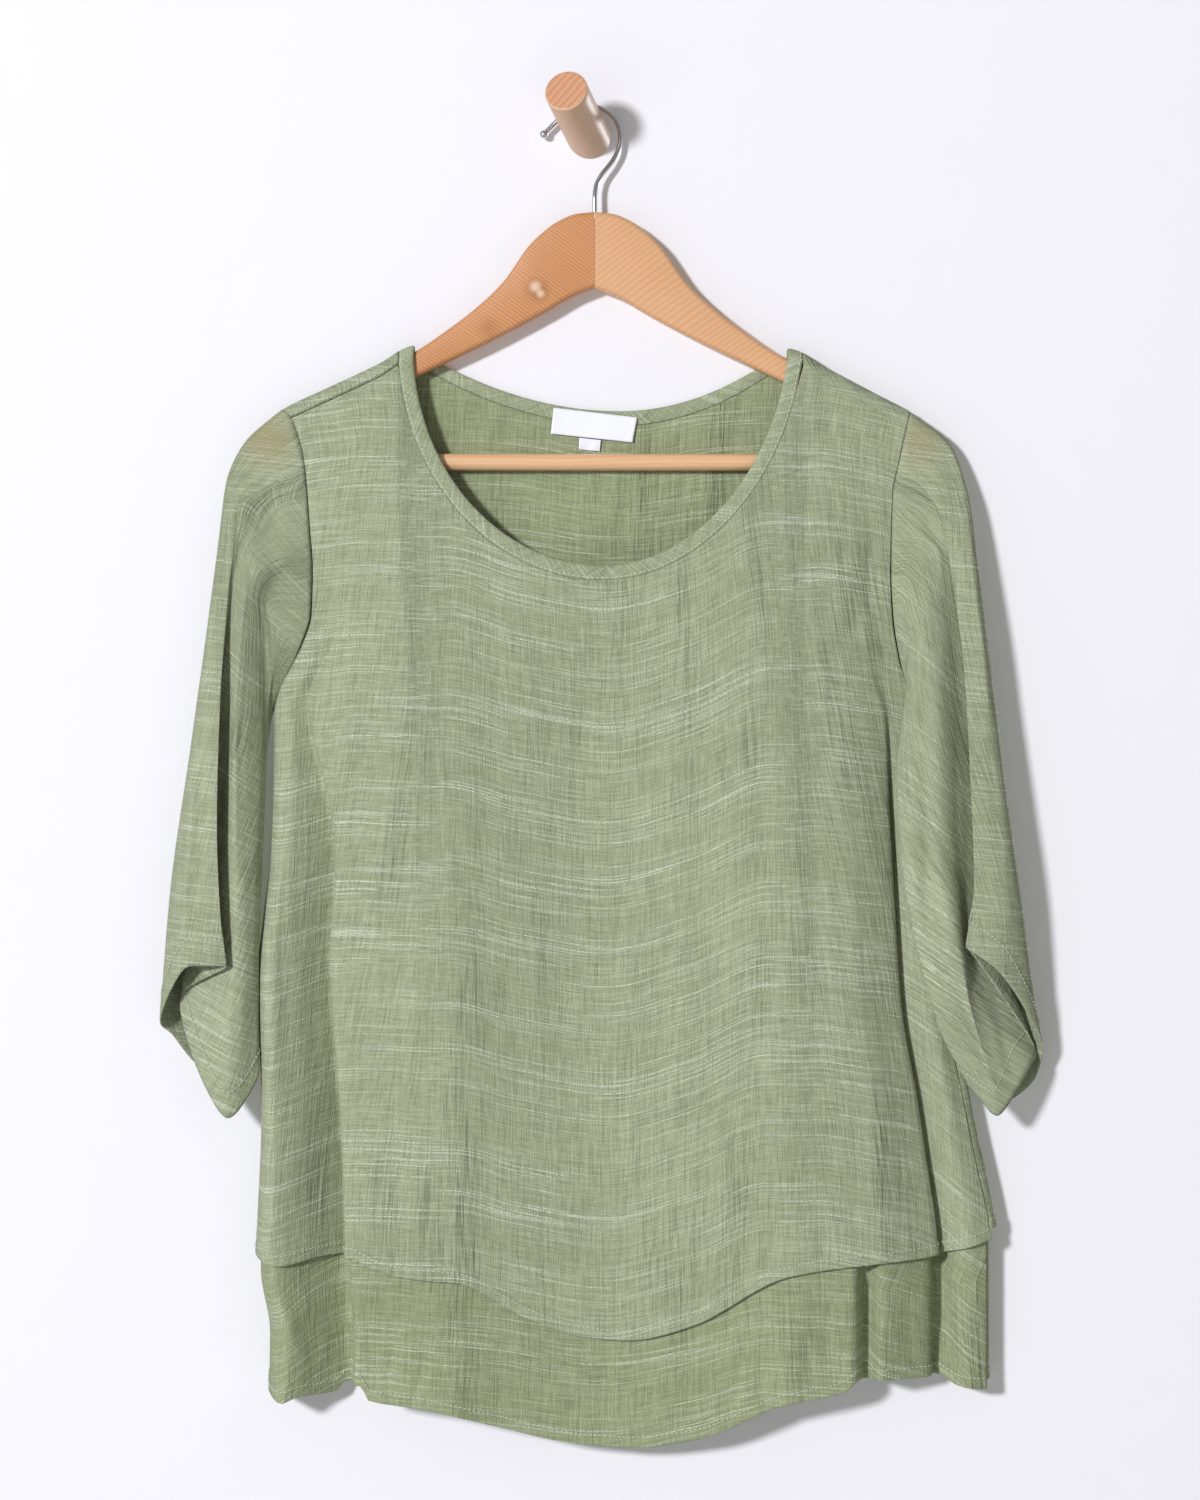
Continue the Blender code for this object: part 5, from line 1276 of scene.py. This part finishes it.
def makeArm(name, way, material, node):
    # vertical slices from the mitre to the nose, each a rounded box
    upper, lower = curve(hanger["upper"]), curve(hanger["lower"])
    outs = np.concatenate(([hanger["mitreGap"] / 2, 1.0], np.linspace(*hanger["slices"]),
                           hanger["noseSlices"]))
    verts = []
    for out in outs:
        high, low = float(upper(out)), float(lower(out))
        half, tall = hanger["thickness"] / 2, max((high - low) / 2, 0.15)
        half *= min(1.0, math.sqrt(max(0.02, (hanger["armEnd"] - out) / hanger["noseLength"])))
        corner = min(hanger["rounding"], half * 0.9, tall * 0.95)
        for cx, cz, start in ((1, 1, 0), (-1, 1, 90), (-1, -1, 180), (1, -1, 270)):
            for k in range(7):
                angle = math.radians(start + 15 * k)
                verts.append((hanger["middle"] + way * out,
                              (high + low) / 2 + cz * (tall - corner) + corner * math.sin(angle),
                              hanger["depth"] + cx * (half - corner) + corner * math.cos(angle)))
    faces = tubeFaces(len(outs), len(verts) // len(outs))
    return dress(faceOut(newPiece(name, toWorld(verts), faces, material), (len(faces) - 2,)), node)


leftWood = woodMaterial("woodLeft", hanger["woodLeft"], knots=hanger["knots"])
rightWood = woodMaterial("woodRight", hanger["woodRight"])
barWood = woodMaterial("woodBar", hanger["woodBar"])
armLeft = makeArm("hangerArmLeft", -1, leftWood, "hanger_left")
armRight = makeArm("hangerArmRight", 1, rightWood, "hanger_right")


def makeBar():
    radius, half = hanger["barDiameter"] / 2, hanger["barHalf"]
    sides, rounding = hanger["barSides"], hanger["barRounding"]
    outline = [(-half, radius - rounding), (-half + 0.35, radius - 0.35), (-half + rounding, radius)]
    outline += [(-half + rounding + (2 * half - 2 * rounding) * k / 40, radius) for k in range(1, 41)]
    outline += [(half - 0.35, radius - 0.35), (half, radius - rounding)]
    verts = []
    for out, size in outline:
        for k in range(sides):
            angle = 2 * math.pi * k / sides
            verts.append((hanger["middle"] + out, hanger["barHeight"] + size * math.sin(angle),
                          hanger["depth"] + size * math.cos(angle)))
    piece = newPiece("trouserBar", toWorld(verts), tubeFaces(len(outline), sides), barWood)
    return dress(faceOut(piece), "trouser_bar")


bar = makeBar()

# The hook: a bent wire with a ball at its tip.

hook = {
    "wire": 3.2, "stations": 110, "softening": 8,
    "path": ((-1.5, 88.1, 10.4), (-1.5, 97, 10), (-0.7, 105, 9), (2.3, 111.6, 8), (8.9, 119.8, 7),
             (13.8, 128.6, 6), (15.4, 137.5, 5.5), (13.4, 146.6, 5.2), (6.5, 154.4, 5), (-3.5, 158, 5),
             (-13.6, 157.2, 5), (-21.5, 152.6, 5), (-27.6, 146.6, 5), (-32.7, 141.4, 5)),
    "ball": ((0.5, 1.08), (1.2, 1.45), (2.0, 1.68), (3.0, 1.75), (4.0, 1.62), (4.7, 1.25), (5.2, 0.8),
             (5.4, 0.3)),           # out from the wire's end, and the radius there as a share of the wire's
    "colour": (0.62, 0.63, 0.65, 1), "smear": (0.50, 0.51, 0.54, 1), "roughness": (0.10, 0.24),
}


def makeHook():
    path, stations = np.array(hook["path"], float), hook["stations"]
    length = lengthsAlong(path)
    at = np.linspace(0, length[-1], stations)
    points = np.stack([flow(length, path[:, axis], at) for axis in range(3)], axis=1)
    for _ in range(hook["softening"]):
        points[1:-1] = points[1:-1] * 0.5 + (points[:-2] + points[2:]) * 0.25
    onward = unit(points[-1] - points[-2])
    points = np.concatenate((points, [points[-1] + onward * distance for distance, _ in hook["ball"]]))
    radii = [1.0] * stations + [radius for _, radius in hook["ball"]]
    line = bpy.data.curves.new("hookWire", "CURVE")
    line.dimensions = "3D"
    line.bevel_depth = hook["wire"] / 2 / 1000
    line.bevel_resolution = 5
    line.use_fill_caps = True
    spline = line.splines.new("POLY")
    spline.points.add(len(points) - 1)
    for knot, point, radius in zip(spline.points, toWorld(points), radii):
        knot.co = (*point, 1)
        knot.radius = radius
    wire = bpy.data.objects.new("hookWireCurve", line)
    bpy.context.collection.objects.link(wire)
    mesh = meshAsShown(wire)
    bpy.data.objects.remove(wire)
    mesh.materials.clear()
    mesh.polygons.foreach_set("use_smooth", [True] * len(mesh.polygons))
    material, tree, shader = newMaterial("hookChrome", {"Metallic": 1.0})
    smear = noise(tree, coords(tree), 160.0, 3.0)
    wear(tree, shader, mixed(tree, smear, hook["colour"], hook["smear"]),
         band(tree, smear, 0.3, 0.7, *hook["roughness"]))
    mesh.materials.append(material)
    piece = bpy.data.objects.new("hookWire", mesh)
    bpy.context.collection.objects.link(piece)
    return dress(piece, "hook")


hookPiece = makeHook()

# The wall peg: a round stick that leans out of the wall.
peg = {
    "diameter": 28.0, "reach": 55.0, "lean": (-13.9, 19.6), "rounding": 1.2, "sides": 96,
    "wood": ((0.70, 0.475, 0.325, 1), (0.58, 0.36, 0.22, 1), 200.0, 0.45, 0.0, 0),
    "end": ((0.66, 0.36, 0.20, 1), (0.46, 0.20, 0.10, 1)), "endTurn": -64, "endRings": 64.0,
}


def endMaterial(turn):
    # year rings across the peg's sawn end
    material, tree, shader = newMaterial("pegEnd", {"Roughness": 0.6})
    place = stretch(tree, coords(tree), (1, 1, 1), turn)
    turned = stretch(tree, place, (1, 1.6, 1), (0, 0, math.radians(peg["endTurn"])))
    rings = waves(tree, turned, peg["endRings"], 1.6, 1.5, 1.2, bands_direction="Y", wave_profile="SAW")
    pores = noise(tree, place, (1400, 1400, 10))
    shade = plus(tree, times(tree, rings, 0.75), times(tree, pores, 0.35), clamp=True)
    wear(tree, shader, mixed(tree, shade, *peg["end"]), height=pores)
    return material


def makePeg():
    axis = Vector((peg["lean"][0], -peg["reach"], peg["lean"][1])) / 1000
    turn = axis.to_track_quat("Z", "Y").to_matrix()
    back = turn.transposed() @ Vector((0, 1, 0))
    radius, count, rounding = peg["diameter"] / 2000, peg["sides"], peg["rounding"] / 1000
    outline = [(None, radius)] + [(axis.length * k / 12, radius) for k in range(3, 12)]
    outline += [(axis.length - rounding * (1 - math.sin(a)), radius - rounding * (1 - math.cos(a)))
                for a in (0, math.pi / 8, math.pi / 4, 3 * math.pi / 8, math.pi / 2)]
    verts = []
    for out, size in outline:
        for k in range(count):
            angle = 2 * math.pi * k / count
            x, y = size * math.cos(angle), size * math.sin(angle)
            verts.append((x, y, -(x * back.x + y * back.y) / back.z if out is None else out))
    faces = tubeFaces(len(outline), count)
    turnBack = tuple(turn.transposed().to_euler())
    piece = newPiece("wallPeg", verts, faces, woodMaterial("pegWood", peg["wood"], turnBack))
    faceOut(piece, (len(faces) - 2, len(faces) - 1))
    piece.data.materials.append(endMaterial(turnBack))
    for polygon in piece.data.polygons:
        if polygon.normal.z > 0.9 and polygon.center.z > axis.length * 0.95:
            polygon.material_index = 1
    piece.data.transform(turn.to_4x4())
    return dress(piece, "wall_peg")


pegPiece = makePeg()
print("hanger, hook and peg made")

# The room, its light and the camera.
room = {
    "wallBehind": 0.0006, "wallHalf": 4, "wallTop": 3, "floorBelow": -1.35, "floorFront": -5,
    "wallColour": (0.80, 0.80, 0.825, 1), "floorColour": (0.80, 0.80, 0.80, 1), "mottle": 0.985,
    "ambient": 0.31, "skyColour": (1.0, 0.975, 0.92, 1),
    "keyPower": 560.0, "keySize": 0.95, "keyDistance": 8.0, "keyWay": (-0.62, -1.0, 0.28),
    "keyColour": (1.0, 1.0, 1.06), "lightOn": (0.008, -0.03, -0.42),
    "backPower": 300.0, "backWay": (0.5, 1.0, 0.06),
    "lens": 84.4, "camera": (0.0079, -2.3, -0.4016),
}
bpy.context.scene.view_settings.view_transform = "Standard"


def roomMaterial(name, colour, seeThroughBack=False):
    material, tree, shader = newMaterial(name, {"Roughness": 0.9, "Specular IOR Level": 0.1})
    shade = tuple(value * room["mottle"] for value in colour[:3]) + (1,)
    wear(tree, shader, mixed(tree, noise(tree, coords(tree), 30.0, 4.0), colour, shade))
    if seeThroughBack:              # from behind, the camera and the back light look through the wall
        clear = tree.nodes.new("ShaderNodeBsdfTransparent")
        facing = tree.nodes.new("ShaderNodeNewGeometry").outputs["Backfacing"]
        ray = tree.nodes.new("ShaderNodeLightPath").outputs
        share = maths(tree, "MAXIMUM", maths(tree, "MULTIPLY", facing, ray["Is Camera Ray"]),
                      maths(tree, "MAXIMUM", ray["Is Diffuse Ray"], ray["Is Shadow Ray"]))
        mix = tree.nodes.new("ShaderNodeMixShader")
        tree.links.new(share, mix.inputs[0])
        tree.links.new(shader.outputs[0], mix.inputs[1])
        tree.links.new(clear.outputs[0], mix.inputs[2])
        tree.links.new(mix.outputs[0], tree.nodes["Material Output"].inputs["Surface"])
    return material


def roomPlane(name, corners, material):
    newPiece(name, corners, [(0, 1, 2, 3)], material)


def addLight(name, power, way):
    light = bpy.data.lights.new(name, "AREA")
    light.shape = "DISK"
    light.size = room["keySize"]
    light.energy = power
    light.color = room["keyColour"]
    lamp = bpy.data.objects.new(name, light)
    way = Vector(way).normalized()
    lamp.location = Vector(room["lightOn"]) + way * room["keyDistance"]
    lamp.rotation_euler = way.to_track_quat("Z", "Y").to_euler()
    bpy.context.collection.objects.link(lamp)


wallY, half, floorZ = room["wallBehind"], room["wallHalf"], room["floorBelow"]
wallCorners = [(-half, wallY, floorZ), (half, wallY, floorZ), (half, wallY, room["wallTop"]),
               (-half, wallY, room["wallTop"])]
floorCorners = [(-half, room["floorFront"], floorZ), (half, room["floorFront"], floorZ),
                (half, half, floorZ), (-half, half, floorZ)]
roomPlane("backdropWall", wallCorners, roomMaterial("wallPaint", room["wallColour"], True))
roomPlane("floor", floorCorners, roomMaterial("floorPaint", room["floorColour"]))
addLight("key", room["keyPower"], room["keyWay"])
addLight("behind", room["backPower"], room["backWay"])

sky = bpy.data.worlds.new("studio")
sky.use_nodes = True
sky.node_tree.nodes["Background"].inputs["Color"].default_value = room["skyColour"]
sky.node_tree.nodes["Background"].inputs["Strength"].default_value = room["ambient"]
bpy.context.scene.world = sky

lens = bpy.data.cameras.new("camera")
lens.lens = room["lens"]
camera = bpy.data.objects.new("camera", lens)
camera.location = room["camera"]
camera.rotation_euler = (math.pi / 2, 0, 0)
bpy.context.collection.objects.link(camera)
bpy.context.scene.camera = camera
print("room, light and camera set")
